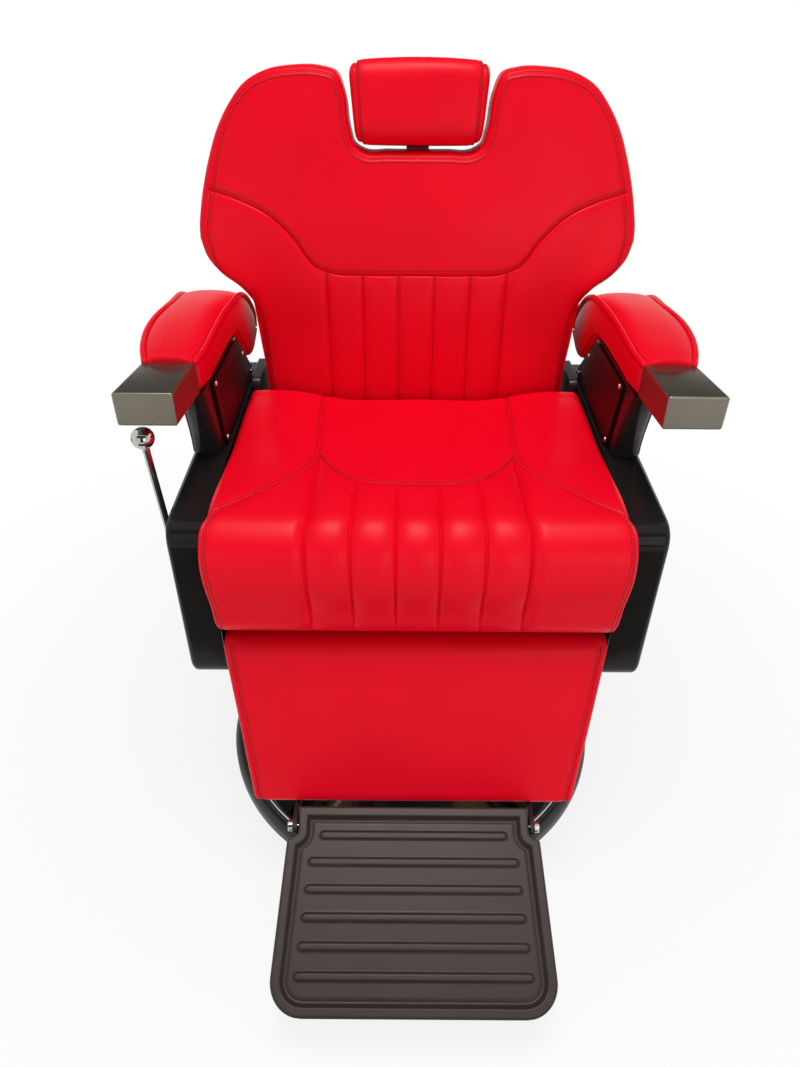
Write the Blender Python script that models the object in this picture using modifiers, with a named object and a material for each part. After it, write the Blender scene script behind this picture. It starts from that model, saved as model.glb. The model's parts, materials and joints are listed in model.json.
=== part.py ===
"""Barber chair on a round base: a hydraulic lift, a swivel, a reclining back tied to the leg rest.

Metres, +Z up. The origin is the middle of the base on the floor and the sitter faces -Y.
Left and right are the sitter's, so left is +X. Every piece is a closed solid of its own.
"""

import math

import bmesh
import bpy
import numpy as np
from mathutils import Matrix, Vector

# Fits
CLEAR = 0.0003            # gap between pieces that touch
RUN = 0.0006              # running gap round a pin, on the radius

# Base
BASE_RADIUS = 0.350
RING_WIDTH = 0.020
RING_HEIGHT = 0.034
FLOOR_PLATE_THICK = 0.005
DISH_WALL = 0.003
DISH_SHOULDER_HEIGHT = 0.030
DISH_COLLAR_HEIGHT = 0.092
DISH_COLLAR_WIDTH = 0.012

# Pump, ram and swivel
PUMP_RADIUS = 0.065
PUMP_HEIGHT = 0.352
PUMP_FLOOR_THICK = 0.012
GLAND_OVERHANG = 0.009
GLAND_HEIGHT = 0.022
RAM_RADIUS = 0.036
RAM_SHOW = 0.008
RAM_GUIDE = 0.100         # length of ram still in the pump at full lift
RAM_NECK_RADIUS = 0.028
RAM_NECK_HEIGHT = 0.045
LIFT_TRAVEL = 0.160
HUB_RADIUS = 0.052
HUB_HEIGHT = 0.0568

# Pump pedal
PEDAL_PIVOT_HEIGHT = 0.120
PEDAL_PIVOT_REACH = 0.030  # from the pump wall to the pedal pin
PEDAL_PIN_RADIUS = 0.005
PEDAL_SLOPE = 6.7          # degrees, the arm falls towards its pad
PEDAL_LENGTH = 0.330
PEDAL_ARM_WIDTH = 0.016
PEDAL_ARM_HEIGHT = 0.020
PEDAL_CHEEK = 0.008
PEDAL_PAD_WIDTH = 0.090
PEDAL_PAD_LENGTH = 0.058
PEDAL_PAD_THICK = 0.014

# Seat frame
MOUNT_PLATE_SIZE = 0.280
MOUNT_PLATE_THICK = 0.010
RAIL_HEIGHT = 0.048
RAIL_WIDTH = 0.025
CROSS_OFFSET = 0.110
CROSS_WIDTH = 0.030
WELD = 0.002               # how far welded bars sink into each other
SHAFT_RADIUS = 0.008

# Seat
SEAT_WIDTH = 0.556
SEAT_FRONT_Y = -0.2865
SEAT_REAR_Y = 0.165
SEAT_FRONT_HEIGHT = 0.1684
SEAT_REAR_HEIGHT = 0.1354
SEAT_LIP_RISE = 0.0094
SEAT_LIP_DEPTH = 0.085
SEAT_LIP_SLOPE = 0.030     # run of the slope from the lip to the underside
SEAT_LIP_RADIUS = 0.011
SEAT_NOSE_RADIUS = 0.055
SEAT_REAR_RADIUS = 0.022
SEAT_EDGE_RADIUS = 0.018
SEAT_CROWN = 0.002
SEAT_BOLSTER = 0.015       # how far the rear corners stand up
SEAT_BOLSTER_X = 0.100     # where the rise towards the corners starts
SEAT_BOLSTER_RUN = 0.140
SEAT_WAIST = 0.003         # how far the side walls draw in
SEAT_BOARD_THICK = 0.018
SEAT_BOARD_MARGIN = 0.020
SEAT_ARC_FRONT_Y = -0.139  # where the channels stop on the seat's top
SEAT_ARC_SIDE_Y = -0.060
SEAT_ARC_FADE = 0.035

# Sewn channels on the seat and the back
CHANNEL_PITCH = 0.0575
CHANNEL_COUNT = 5
CHANNEL_DEPTH = 0.007
CHANNEL_SHOULDER = 0.14    # share of the pitch beside a seam where its fall begins

# Side covers
SIDE_GAP = 0.0025
COVER_WIDTH = 0.0545
COVER_RISE = 0.1534        # cover top above the seat's underside
COVER_HEIGHT = 0.275
COVER_SETBACK = 0.050      # cover front behind the seat front
COVER_LENGTH = 0.510
COVER_WALL = 0.004
COVER_ROUND = 0.010
COVER_BOSS_RADIUS = 0.012
COVER_BOSS_INSET = 0.042   # bosses' distance from the cover's ends

# Arms
ARM_BRACKET_THICK = 0.0045
ARM_BRACKET_LENGTH = 0.200
ARM_SUPPORT_WIDTH = 0.0455
ARM_SUPPORT_FOOT_Y = -0.066
ARM_SUPPORT_TOP_Y = -0.118
ARM_SUPPORT_REAR_Y = 0.232
ARM_SUPPORT_SWEEP = 0.007  # how far the front edge bows
PANEL_THICK = 0.004
PANEL_FRONT_TOP_Y = -0.066
PANEL_FRONT_FOOT_Y = -0.034
PANEL_SHOULDER_Y = 0.110
PANEL_REAR_TOP_Y = 0.163
PANEL_REAR_FOOT_Y = 0.226
PANEL_FOOT_RISE = 0.004    # above the cover
PANEL_HEAD_DROP = 0.010    # below the pad, at the front
PANEL_SHOULDER_FALL = 0.010  # the head edge falls this much to its shoulder
PANEL_REAR_FALL = 0.052      # and this much to its rear corner, along the pad's drop
PANEL_RIB_COUNT = 6
PANEL_RIB_PITCH = 0.0125
PANEL_RIB_HEIGHT = 0.0035
PANEL_RIB_RAISE = 0.0018
SCREW_RADIUS = 0.0022
SCREW_LENGTH = 0.012
SCREW_HEAD_RADIUS = 0.0052
SCREW_HEAD_HEIGHT = 0.0028
SCREW_INSET = 0.014
CAP_FRONT_Y = -0.2075
CAP_LENGTH = 0.0895
CAP_FRONT_WIDTH = 0.075
CAP_REAR_WIDTH = 0.070
CAP_HEIGHT = 0.045
CAP_REAR_INSET = 0.0085    # cap's inner rear corner outside the panel-side face of the pad
CAP_SPLAY = 0.009          # cap's inner front corner stands this far out from its rear corner
CAP_RISE = 0.128           # cap's underside above the cover top
PAD_PLUMP = 0.006          # how far the pad's top bulges
PAD_EDGE_RADIUS = 0.010
PAD_FOOT_RISE = 0.001      # pad's front under edge above the cap's
PAD_TOP_RISE = 0.002       # pad's front top edge above the cap's
PAD_WIDTH = 0.1035
# An arm pad's sections, as steps from its front section: top edge back and up, under edge back and up,
# and the inner and outer side past the pad's full width
PAD_TABLE = (
    (0.000, 0.000, 0.000, 0.000, 0.0075, -0.024),
    (0.060, 0.004, 0.060, 0.000, 0.003, -0.006),
    (0.130, 0.004, 0.125, -0.003, 0.000, 0.000),
    (0.215, -0.004, 0.190, -0.007, 0.000, -0.001),
    (0.300, -0.020, 0.236, -0.014, -0.003, -0.003),
    (0.355, -0.050, 0.270, -0.042, -0.004, -0.006),
    (0.390, -0.092, 0.300, -0.071, -0.004, -0.010),
    (0.380, -0.128, 0.320, -0.092, 0.000, -0.014),
)
PAD_OVERHANG = 0.0015      # pad's inner side over the panel
PAD_SEATING = 0.0007       # support below the pad
PAD_SECTIONS = 18

# Recline linkage
RECLINE_SETBACK = 0.060    # recline shaft behind the seat
RECLINE_RANGE = 45.0       # degrees
CRANK_RADIUS = 0.060
STUD_RADIUS = 0.005
BRACKET_THICK = 0.006
BRACKET_INSET = 0.0272     # bracket's outer face inside the rail
BRACKET_HALF = 0.012
BACK_ARM_HEIGHT = 0.240
TIE_THICK = 0.010
TIE_HALF = 0.009
TIE_SPACE = 0.0035
LOCK_X = -0.160
LOCK_RADIUS = 0.017
LOCK_ROD_RADIUS = 0.006
LOCK_REAR_Y = 0.050
LOCK_FLOOR = 0.008
LOCK_ROD_GUIDE = 0.050
YOKE_LENGTH = 0.026
YOKE_PLAY = 0.001
YOKE_WALL = 0.012

# Release lever
LEVER_SETBACK = 0.0715     # lever pivot behind the cover front
LEVER_LENGTH = 0.2924
LEVER_TILT = 3.1           # degrees forward
LEVER_ROD_RADIUS = 0.005
LEVER_BALL_RADIUS = 0.015
LEVER_BOSS_RADIUS = 0.016
LEVER_BOSS_LENGTH = 0.0305
LEVER_ROD_OFFSET = 0.023   # rod's centre line outside the cover
LEVER_SPINDLE_RADIUS = 0.006
LEVER_FINGER_LENGTH = 0.050
LEVER_FINGER_WIDTH = 0.016

# Back
BACK_GAP = 0.0085          # seat's rear to the back's front face
BACK_THICK = 0.070
BACK_BOARD_THICK = 0.018
BACK_BOARD_INSET = 0.012
BACK_LEAN = 12.0           # degrees
BACK_FOOT_RISE = 0.0634    # heights above the seat's underside
BACK_BEND_RISE = 0.3384
BACK_WING_RISE = 0.4004
BACK_HEIGHT = 0.6230
BACK_BEND_SPAN = 0.120
BACK_SIDE_GAP = 0.030      # lower back inside the arms
BACK_WING_WIDTH = 0.684
BACK_WING_DROP = 0.090
BACK_FLARE_HEIGHT = 0.055
BACK_FLARE_WIDTH = 0.01925
BACK_SHOULDER_X = 0.175    # where the top edge is highest
BACK_EDGE_RADIUS = 0.013
BACK_CROWN = 0.010
NOTCH_WIDTH = 0.216
NOTCH_WALL = 0.010         # how far the notch widens towards its top
NOTCH_DEPTH = 0.1146
NOTCH_LIP = 0.030
YOKE_SEAM_RISE = 0.343     # yoke seam above the seat's underside, in the middle
YOKE_SEAM_LIFT = 0.118     # further rise of the seam at the wings
YOKE_SEAM_FLAT = 0.145     # half length of the seam's level stretch
SEAM_DEPTH = 0.004
SEAM_HALF = 0.008

# Headrest
HEADREST_SIDE_GAP = 0.006
HEADREST_FLOAT = 0.0195    # above the notch floor, along the lean
HEADREST_HEIGHT = 0.112
HEADREST_THICK = 0.090
HEADREST_ROUND = 0.034
HEADREST_TAPER = 0.010
HEADREST_END_SQUEEZE = 0.16  # share by which the ends draw in
HEADREST_END_POWER = 12
HEADREST_BOARD_THICK = 0.015
HEADREST_BOARD_WIDTH = 0.150
HEADREST_BOARD_HEIGHT = 0.085
HEADREST_TRAVEL = 0.110
POST_WIDTH = 0.036
POST_THICK = 0.006
SLEEVE_WALL = 0.0045
SLEEVE_LENGTH = 0.085
SLEEVE_BELOW_NOTCH = 0.020
POST_ENGAGED = 0.030        # post still in the sleeve at full height

# Leg rest
LEG_PIVOT_SETBACK = 0.0865  # leg-rest shaft behind the seat front
LEG_TILT = 14.0             # degrees
LEG_PAD_REACH = 0.0689      # front face in front of the shaft
LEG_PAD_DROP = 0.0056       # top below the shaft
LEG_PAD_HEIGHT = 0.290
LEG_PAD_THICK = 0.040
LEG_PAD_TOP_WIDTH = 0.556
LEG_PAD_BOTTOM_WIDTH = 0.496
LEG_PAD_ROUND = 0.022
LEG_PAD_CROWN = 0.006
LEG_BOARD_THICK = 0.012
LEG_BOARD_MARGIN = 0.022
LEG_BOSS_RADIUS = 0.0155
LEG_ARM_LENGTH = 0.200

# Footplate
FOOT_PIVOT_REACH = 0.0944   # bolts in front of the leg-rest shaft, along the leg rest's own axes
FOOT_PIVOT_DROP = 0.3116
FOOT_SLOPE = 25.0           # degrees, toe down
FOOT_TONGUE_WIDTH = 0.352
FOOT_TONGUE_BACK = 0.028
FOOT_NOTCH_Y = -0.012
FOOT_NOTCH_RUN = 0.010
FOOT_REAR_WIDTH = 0.383
FOOT_FRONT_WIDTH = 0.410
FOOT_LENGTH = 0.254
FOOT_CORNER = 0.050
FOOT_TOP = 0.010            # rim top above the bolts
FOOT_THICK = 0.026
FOOT_RIM = 0.016
FOOT_RECESS = 0.007
FOOT_FLOOR = 0.005
FOOT_RIB_COUNT = 6
FOOT_RIB_PITCH = 0.0377
FOOT_RIB_FIRST_Y = -0.0143
FOOT_RIB_LENGTH = 0.325
FOOT_RIB_FIRST_LENGTH = 0.285
FOOT_RIB_WIDTH = 0.013
FOOT_RIB_HEIGHT = 0.004
FOOT_ARM_THICK = 0.007
FOOT_ARM_GAP = 0.0015
FOOT_BOLT_RADIUS = 0.004
FOOT_BOLT_HEAD_RADIUS = 0.0085
FOOT_BOLT_HEAD_HEIGHT = 0.007
FOOT_BOLT_BITE = 0.010

# Facets
ROUND_SIDES = 48
BOSS_SIDES = 24
PIN_SIDES = 16
SCREW_SIDES = 12
SHANK_SIDES = 8

# Levels of the stack from the floor up
pump_foot = FLOOR_PLATE_THICK + CLEAR
pump_top = pump_foot + PUMP_HEIGHT
gland_foot = pump_top + CLEAR
gland_top = gland_foot + GLAND_HEIGHT
ram_shoulder = gland_top + RAM_SHOW
hub_foot = ram_shoulder + CLEAR
hub_top = hub_foot + HUB_HEIGHT
mount_foot = hub_top + CLEAR
rail_foot = mount_foot + MOUNT_PLATE_THICK
rail_top = rail_foot + RAIL_HEIGHT
rail_mid = (rail_foot + rail_top) / 2
board_foot = rail_top + CLEAR
seat_foot = board_foot + SEAT_BOARD_THICK + CLEAR

# Side-to-side places
seat_half = SEAT_WIDTH / 2
cover_in = seat_half + SIDE_GAP
cover_out = cover_in + COVER_WIDTH
rail_out = cover_in - CLEAR
rail_in = rail_out - RAIL_WIDTH
bracket_out = rail_in - BRACKET_INSET
bracket_in = bracket_out - BRACKET_THICK
tie_out = bracket_in - TIE_SPACE
tie_in = tie_out - TIE_THICK
support_in = cover_out - ARM_SUPPORT_WIDTH
panel_out = support_in - CLEAR
panel_in = panel_out - PANEL_THICK
pad_in = panel_in - PAD_OVERHANG
back_lower_half = pad_in - BACK_SIDE_GAP
back_wing_half = BACK_WING_WIDTH / 2

# Front-to-back places and heights of the chair
cover_top = seat_foot + COVER_RISE
cover_foot = cover_top - COVER_HEIGHT
cover_front = SEAT_FRONT_Y + COVER_SETBACK
cover_rear = cover_front + COVER_LENGTH
leg_y = SEAT_FRONT_Y + LEG_PIVOT_SETBACK
back_y = SEAT_REAR_Y + RECLINE_SETBACK
lever_y = cover_front + LEVER_SETBACK
crank_swing = math.radians(RECLINE_RANGE) / 2
crank_y = CRANK_RADIUS * math.sin(crank_swing)
crank_z = -CRANK_RADIUS * math.cos(crank_swing)
back_front = SEAT_REAR_Y + BACK_GAP
back_foot = seat_foot + BACK_FOOT_RISE
back_bend = seat_foot + BACK_BEND_RISE
back_wing = seat_foot + BACK_WING_RISE
back_peak = seat_foot + BACK_HEIGHT
notch_floor = back_peak - NOTCH_DEPTH
board_rear_n = BACK_THICK + CLEAR + BACK_BOARD_THICK
cap_rear = CAP_FRONT_Y + CAP_LENGTH
cap_foot = cover_top + CAP_RISE

SIDES = (("left", 1.0), ("right", -1.0))

# Finishes: colour, roughness, metallic
FINISHES = {
    "red_leather": ((0.80, 0.006, 0.014), 0.42, 0.0),
    "gloss_black": ((0.012, 0.010, 0.010), 0.12, 0.0),
    "satin_black": ((0.020, 0.018, 0.018), 0.45, 0.0),
    "maroon_black": ((0.030, 0.004, 0.006), 0.20, 0.0),
    "chrome": ((0.82, 0.82, 0.84), 0.06, 1.0),
    "brushed_nickel": ((0.46, 0.43, 0.39), 0.30, 1.0),
    "bronze_casting": ((0.060, 0.046, 0.044), 0.42, 0.3),
    "steel": ((0.40, 0.41, 0.43), 0.35, 1.0),
    "black_steel": ((0.025, 0.025, 0.027), 0.40, 0.6),
    "plywood": ((0.42, 0.27, 0.14), 0.70, 0.0),
    "rubber": ((0.018, 0.018, 0.018), 0.80, 0.0),
}


def new_collection(name):
    """A collection linked to the scene."""
    group = bpy.data.collections.new(name)
    bpy.context.scene.collection.children.link(group)
    return group


def make_material(piece_name, finish):
    """A Principled material of the piece's own with the finish's colour, roughness and metallic value."""
    colour, roughness, metallic = FINISHES[finish]
    material = bpy.data.materials.new(f"{piece_name}_{finish}")
    material.use_nodes = True
    shader = material.node_tree.nodes["Principled BSDF"]
    shader.inputs["Base Color"].default_value = (*colour, 1.0)
    shader.inputs["Roughness"].default_value = roughness
    shader.inputs["Metallic"].default_value = metallic
    return material


class Axis:
    """An empty on a joint's axis. Its pieces are its children; tilt turns it about X, in degrees."""

    def __init__(self, name, location, tilt=0.0):
        self.empty = bpy.data.objects.new(name, None)
        self.empty.empty_display_size = 0.05
        self.empty.location = location
        self.empty.rotation_euler = (math.radians(tilt), 0.0, 0.0)
        self.matrix = Matrix.Translation(location) @ Matrix.Rotation(math.radians(tilt), 4, "X")
        chair.objects.link(self.empty)

    def inside(self, y, z):
        """The axis's own y and z of a world point in the plane of motion."""
        point = self.matrix.inverted() @ Vector((self.empty.location.x, y, z))
        return point.y, point.z


def add_piece(name, mesh, finish, axis, local=False):
    """Link a mesh as a named piece under an axis; a mesh in world places is first brought to the axis."""
    if not local:
        mesh.transform(axis.matrix.inverted())
    mesh.name = name
    mesh.materials.append(make_material(name, finish))
    mesh.shade_smooth()
    mesh.set_sharp_from_angle(angle=math.radians(35))
    piece = bpy.data.objects.new(name, mesh)
    chair.objects.link(piece)
    piece.parent = axis.empty
    return piece


def add_tool(name, mesh, axis, local=False):
    """A hidden helper solid that cuts or joins a piece."""
    if not local:
        mesh.transform(axis.matrix.inverted())
    tool = bpy.data.objects.new(name, mesh)
    cutters.objects.link(tool)
    tool.parent = axis.empty
    tool.hide_render = True
    tool.display_type = "WIRE"
    return tool


def combine(piece, operation, *tools):
    """Boolean modifiers on a piece, one for each helper solid."""
    for tool in tools:
        modifier = piece.modifiers.new(tool.name, "BOOLEAN")
        modifier.operation = operation
        modifier.solver = "EXACT"
        modifier.object = tool


def mesh_from(bm):
    """A mesh from a bmesh, with the faces turned outwards."""
    bmesh.ops.recalc_face_normals(bm, faces=bm.faces)
    mesh = bpy.data.meshes.new("shape")
    bm.to_mesh(mesh)
    bm.free()
    return mesh


def box_mesh(low, high, rounding=0.0):
    """A box between two corners, with its edges rounded where rounding is given."""
    low, high = Vector(low), Vector(high)
    bm = bmesh.new()
    size = Matrix.Diagonal((*(high - low), 1.0))
    bmesh.ops.create_cube(bm, size=1.0, matrix=Matrix.Translation((low + high) / 2) @ size)
    if rounding:
        bmesh.ops.bevel(bm, geom=bm.edges[:], offset=rounding, segments=2, profile=0.5, affect="EDGES")
    return mesh_from(bm)


def rod_mesh(start, end, radius, sides=PIN_SIDES):
    """A round bar between two points."""
    start, end = Vector(start), Vector(end)
    along = end - start
    turn = along.to_track_quat("Z", "Y").to_matrix().to_4x4()
    bm = bmesh.new()
    bmesh.ops.create_cone(bm, cap_ends=True, segments=sides, radius1=radius, radius2=radius,
                          depth=along.length, matrix=Matrix.Translation((start + end) / 2) @ turn)
    return mesh_from(bm)


def rods_mesh(bars, radius):
    """Several round bars of one radius in one helper mesh."""
    bm = bmesh.new()
    for start, end in bars:
        bm.from_mesh(rod_mesh(start, end, radius))
    return mesh_from(bm)


def ball_mesh(centre, radius):
    """A ball."""
    bm = bmesh.new()
    bmesh.ops.create_uvsphere(bm, u_segments=20, v_segments=12, radius=radius,
                              matrix=Matrix.Translation(centre))
    return mesh_from(bm)


def add_turned(name, profile, finish, axis, sides=ROUND_SIDES):
    """A piece turned about Z from a profile of (radius, height) points, from the top down its outer side."""
    mesh = bpy.data.meshes.new(name)
    count = len(profile)
    links = [(i, i + 1) for i in range(count - 1)]
    if profile[0][0] > 0:
        links.append((count - 1, 0))
    mesh.from_pydata([(radius, 0.0, height) for radius, height in profile], links, [])
    mesh.transform(axis.matrix.inverted())
    mesh.materials.append(make_material(name, finish))
    piece = bpy.data.objects.new(name, mesh)
    chair.objects.link(piece)
    piece.parent = axis.empty
    screw = piece.modifiers.new("turn", "SCREW")
    screw.steps = sides
    screw.render_steps = sides
    screw.use_merge_vertices = True
    screw.merge_threshold = 0.00001
    screw.use_smooth_shade = True
    return piece


def arc(centre, radius, start, end, count):
    """Points on a circle between two angles, in degrees."""
    angles = np.radians(np.linspace(start, end, count))
    return [(centre[0] + radius * math.cos(a), centre[1] + radius * math.sin(a)) for a in angles]


def link_outline(start, end, half, count=7):
    """The outline of a bar with round ends between two points."""
    angle = math.degrees(math.atan2(end[1] - start[1], end[0] - start[0]))
    return arc(end, half, angle - 90, angle + 90, count) + arc(start, half, angle + 90, angle + 270, count)


def outline_mesh(points, low, high, plane="YZ"):
    """A flat plate: a filled 2D outline in the YZ, XZ or XY plane, extruded from low to high across it."""
    curve = bpy.data.curves.new("outline", "CURVE")
    curve.dimensions = "2D"
    curve.fill_mode = "BOTH"
    curve.extrude = (high - low) / 2
    spline = curve.splines.new("POLY")
    spline.points.add(len(points) - 1)
    for slot, (a, b) in zip(spline.points, points):
        slot.co = (a, b, 0.0, 1.0)
    spline.use_cyclic_u = True
    drawing = bpy.data.objects.new("outline", curve)
    bpy.context.scene.collection.objects.link(drawing)
    depsgraph = bpy.context.evaluated_depsgraph_get()
    mesh = bpy.data.meshes.new_from_object(drawing.evaluated_get(depsgraph))
    bpy.data.objects.remove(drawing)
    bm = bmesh.new()
    bm.from_mesh(mesh)
    bmesh.ops.remove_doubles(bm, verts=bm.verts, dist=0.00001)
    middle = (low + high) / 2
    if plane == "YZ":
        turn = Matrix(((0, 0, 1, middle), (1, 0, 0, 0), (0, 1, 0, 0), (0, 0, 0, 1)))
    elif plane == "XZ":
        turn = Matrix(((1, 0, 0, 0), (0, 0, -1, middle), (0, 1, 0, 0), (0, 0, 0, 1)))
    else:
        turn = Matrix.Translation((0, 0, middle))
    bmesh.ops.transform(bm, matrix=turn, verts=bm.verts)
    return mesh_from(bm)


def loft_mesh(rings):
    """A closed solid through rings of equal length, with a flat cap on the first and the last ring."""
    rings = np.asarray(rings, float)
    count, size, _ = rings.shape
    faces = [tuple(range(size)), tuple((count - 1) * size + i for i in range(size))]
    for row in range(count - 1):
        for i in range(size):
            j = (i + 1) % size
            faces.append((row * size + i, row * size + j, (row + 1) * size + j, (row + 1) * size + i))
    bm = bmesh.new()
    corners = [bm.verts.new(point) for point in rings.reshape(-1, 3)]
    for face in faces:
        bm.faces.new([corners[i] for i in face])
    return mesh_from(bm)


def smooth_rows(rows, count):
    """Rows of numbers run through by a Catmull-Rom curve, read at evenly spaced places."""
    rows = np.asarray(rows, float)
    ends = np.vstack([2 * rows[0] - rows[1], rows, 2 * rows[-1] - rows[-2]])
    place = np.linspace(0, len(rows) - 1, count)
    step = np.minimum(place.astype(int), len(rows) - 2)
    t = (place - step)[:, None]
    a, b, c, d = (ends[step + k] for k in range(4))
    bend = (c - a) * t + (2 * a - 5 * b + 4 * c - d) * t ** 2 + (3 * b - a - 3 * c + d) * t ** 3
    return b + bend / 2


def rounded_rectangle(half_a, half_b, radius, per_corner=3):
    """A rectangle about the middle with round corners, anticlockwise from the lower right."""
    points = []
    for sign_a, sign_b, start in ((1, -1, -90), (1, 1, 0), (-1, 1, 90), (-1, -1, 180)):
        corner = (sign_a * (half_a - radius), sign_b * (half_b - radius))
        points += arc(corner, radius, start, start + 90, per_corner)
    return points


def edge_drop(distance, radius):
    """How far a rounded edge falls away at a distance from the outline."""
    near = np.clip(distance, 0.0, radius) / radius
    return radius * (1 - np.sqrt(1 - (1 - near) ** 2))


def channel_sink(x):
    """Depth of the sewn channels at x: nothing on a channel's crest and full on its seams."""
    half = CHANNEL_COUNT * CHANNEL_PITCH / 2
    x = abs(x)
    if x <= half:
        return CHANNEL_DEPTH * (1 - math.sqrt(abs(math.cos(math.pi * x / CHANNEL_PITCH))))
    return CHANNEL_DEPTH * max(0.0, 1 - (x - half) / (CHANNEL_PITCH / 2)) ** 2


def channel_places():
    """Places across a channelled cushion: its seams, both sides of each seam, and the crests between."""
    places = [0.0]
    half = CHANNEL_COUNT * CHANNEL_PITCH / 2
    lines = [half - k * CHANNEL_PITCH for k in range((CHANNEL_COUNT + 1) // 2)]
    shoulder = CHANNEL_PITCH * CHANNEL_SHOULDER
    for line in lines:
        places += [line - shoulder, line, line + shoulder]
    places += [k * CHANNEL_PITCH for k in range(1, CHANNEL_COUNT // 2 + 1)]
    return sorted(set(places))


def mirrored(places):
    """The places on both sides of the middle, in order."""
    return sorted({-p for p in places} | set(places))


def build_base():
    """Floor plate, ring, dish, pump, gland and the pedal's bracket."""
    dish_out = BASE_RADIUS - RING_WIDTH - CLEAR
    plate = [(0, FLOOR_PLATE_THICK), (dish_out, FLOOR_PLATE_THICK), (dish_out, 0), (0, 0)]
    add_turned("floor_plate", plate, "black_steel", base_axis)

    ring_in = BASE_RADIUS - RING_WIDTH
    ring = [(ring_in, RING_HEIGHT * 0.90), (ring_in + RING_WIDTH * 0.3, RING_HEIGHT),
            (ring_in + RING_WIDTH * 0.7, RING_HEIGHT * 0.97), (BASE_RADIUS, RING_HEIGHT * 0.72),
            (BASE_RADIUS, RING_HEIGHT * 0.12), (BASE_RADIUS - RING_WIDTH * 0.12, 0), (ring_in, 0)]
    add_turned("base_ring", ring, "satin_black", base_axis)

    collar_in = PUMP_RADIUS + CLEAR
    collar_out = PUMP_RADIUS + DISH_COLLAR_WIDTH
    reach = np.linspace(0, 1, 7)
    sweep_r = collar_out + (dish_out - collar_out) * reach
    sweep_z = DISH_SHOULDER_HEIGHT + (DISH_COLLAR_HEIGHT - DISH_SHOULDER_HEIGHT) * (1 - reach) ** 2.2
    top = [(collar_in, DISH_COLLAR_HEIGHT), *zip(sweep_r, sweep_z)]
    rim = [(dish_out, pump_foot), (dish_out - DISH_WALL, pump_foot)]
    under = [(radius, height - DISH_WALL) for radius, height in zip(sweep_r, sweep_z)]
    under[-1] = (dish_out - DISH_WALL, DISH_SHOULDER_HEIGHT - DISH_WALL)
    under = [*under[::-1], (collar_in, DISH_COLLAR_HEIGHT - DISH_WALL)]
    add_turned("base_dish", [*top, *rim, *under], "chrome", base_axis)

    bore = RAM_RADIUS + CLEAR
    bore_floor = pump_foot + PUMP_FLOOR_THICK
    pump = [(0, bore_floor), (bore, bore_floor), (bore, pump_top), (PUMP_RADIUS, pump_top),
            (PUMP_RADIUS, pump_foot), (0, pump_foot)]
    add_turned("pump_cylinder", pump, "chrome", base_axis)

    gland_out = PUMP_RADIUS + GLAND_OVERHANG
    chamfer = GLAND_OVERHANG / 2
    gland = [(bore, gland_top), (gland_out - chamfer, gland_top), (gland_out, gland_top - chamfer),
             (gland_out, gland_foot), (bore, gland_foot)]
    add_turned("pump_gland", gland, "satin_black", base_axis)

    pin_y = PUMP_RADIUS + PEDAL_PIVOT_REACH
    half = PEDAL_ARM_WIDTH / 2 + CLEAR + PEDAL_CHEEK
    eye = PEDAL_ARM_HEIGHT / 2
    low = (-half, PUMP_RADIUS + CLEAR, PEDAL_PIVOT_HEIGHT - eye)
    high = (half, pin_y + eye, PEDAL_PIVOT_HEIGHT + eye)
    bracket = add_piece("pedal_bracket", box_mesh(low, high), "black_steel", base_axis)
    slot_half = PEDAL_ARM_WIDTH / 2 + CLEAR
    slot_y = pin_y - eye - RUN
    slot = box_mesh((-slot_half, slot_y, low[2] - eye), (slot_half, high[1] + eye, high[2] + eye))
    pin = rod_mesh((-half + WELD, pin_y, PEDAL_PIVOT_HEIGHT), (half - WELD, pin_y, PEDAL_PIVOT_HEIGHT),
                   PEDAL_PIN_RADIUS)
    combine(bracket, "DIFFERENCE", add_tool("pedal_slot", slot, base_axis))
    combine(bracket, "UNION", add_tool("pedal_pin", pin, base_axis))


def build_pedal():
    """Pump pedal: an arm with an eye on the bracket's pin, and a rubber pad."""
    half = PEDAL_ARM_WIDTH / 2
    eye = PEDAL_ARM_HEIGHT / 2
    outline = link_outline((0, 0), (PEDAL_LENGTH, 0), eye)
    arm = add_piece("pedal_arm", outline_mesh(outline, -half, half), "chrome", pedal_axis, local=True)
    hole = rod_mesh((-PEDAL_ARM_WIDTH, 0, 0), (PEDAL_ARM_WIDTH, 0, 0), PEDAL_PIN_RADIUS + RUN)
    combine(arm, "DIFFERENCE", add_tool("pedal_eye", hole, pedal_axis, local=True))
    foot = eye + CLEAR
    low = (-PEDAL_PAD_WIDTH / 2, PEDAL_LENGTH - PEDAL_PAD_LENGTH, foot)
    high = (PEDAL_PAD_WIDTH / 2, PEDAL_LENGTH, foot + PEDAL_PAD_THICK)
    add_piece("pedal_pad", box_mesh(low, high, PEDAL_PAD_THICK / 4), "rubber", pedal_axis, local=True)


def build_ram():
    """The ram that lifts the chair, with a neck for the swivel hub."""
    foot = pump_top - LIFT_TRAVEL - RAM_GUIDE
    neck_top = ram_shoulder + RAM_NECK_HEIGHT
    profile = [(0, neck_top), (RAM_NECK_RADIUS, neck_top), (RAM_NECK_RADIUS, ram_shoulder),
               (RAM_RADIUS, ram_shoulder), (RAM_RADIUS, foot), (0, foot)]
    add_turned("pump_ram", profile, "chrome", ram_axis)


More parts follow.
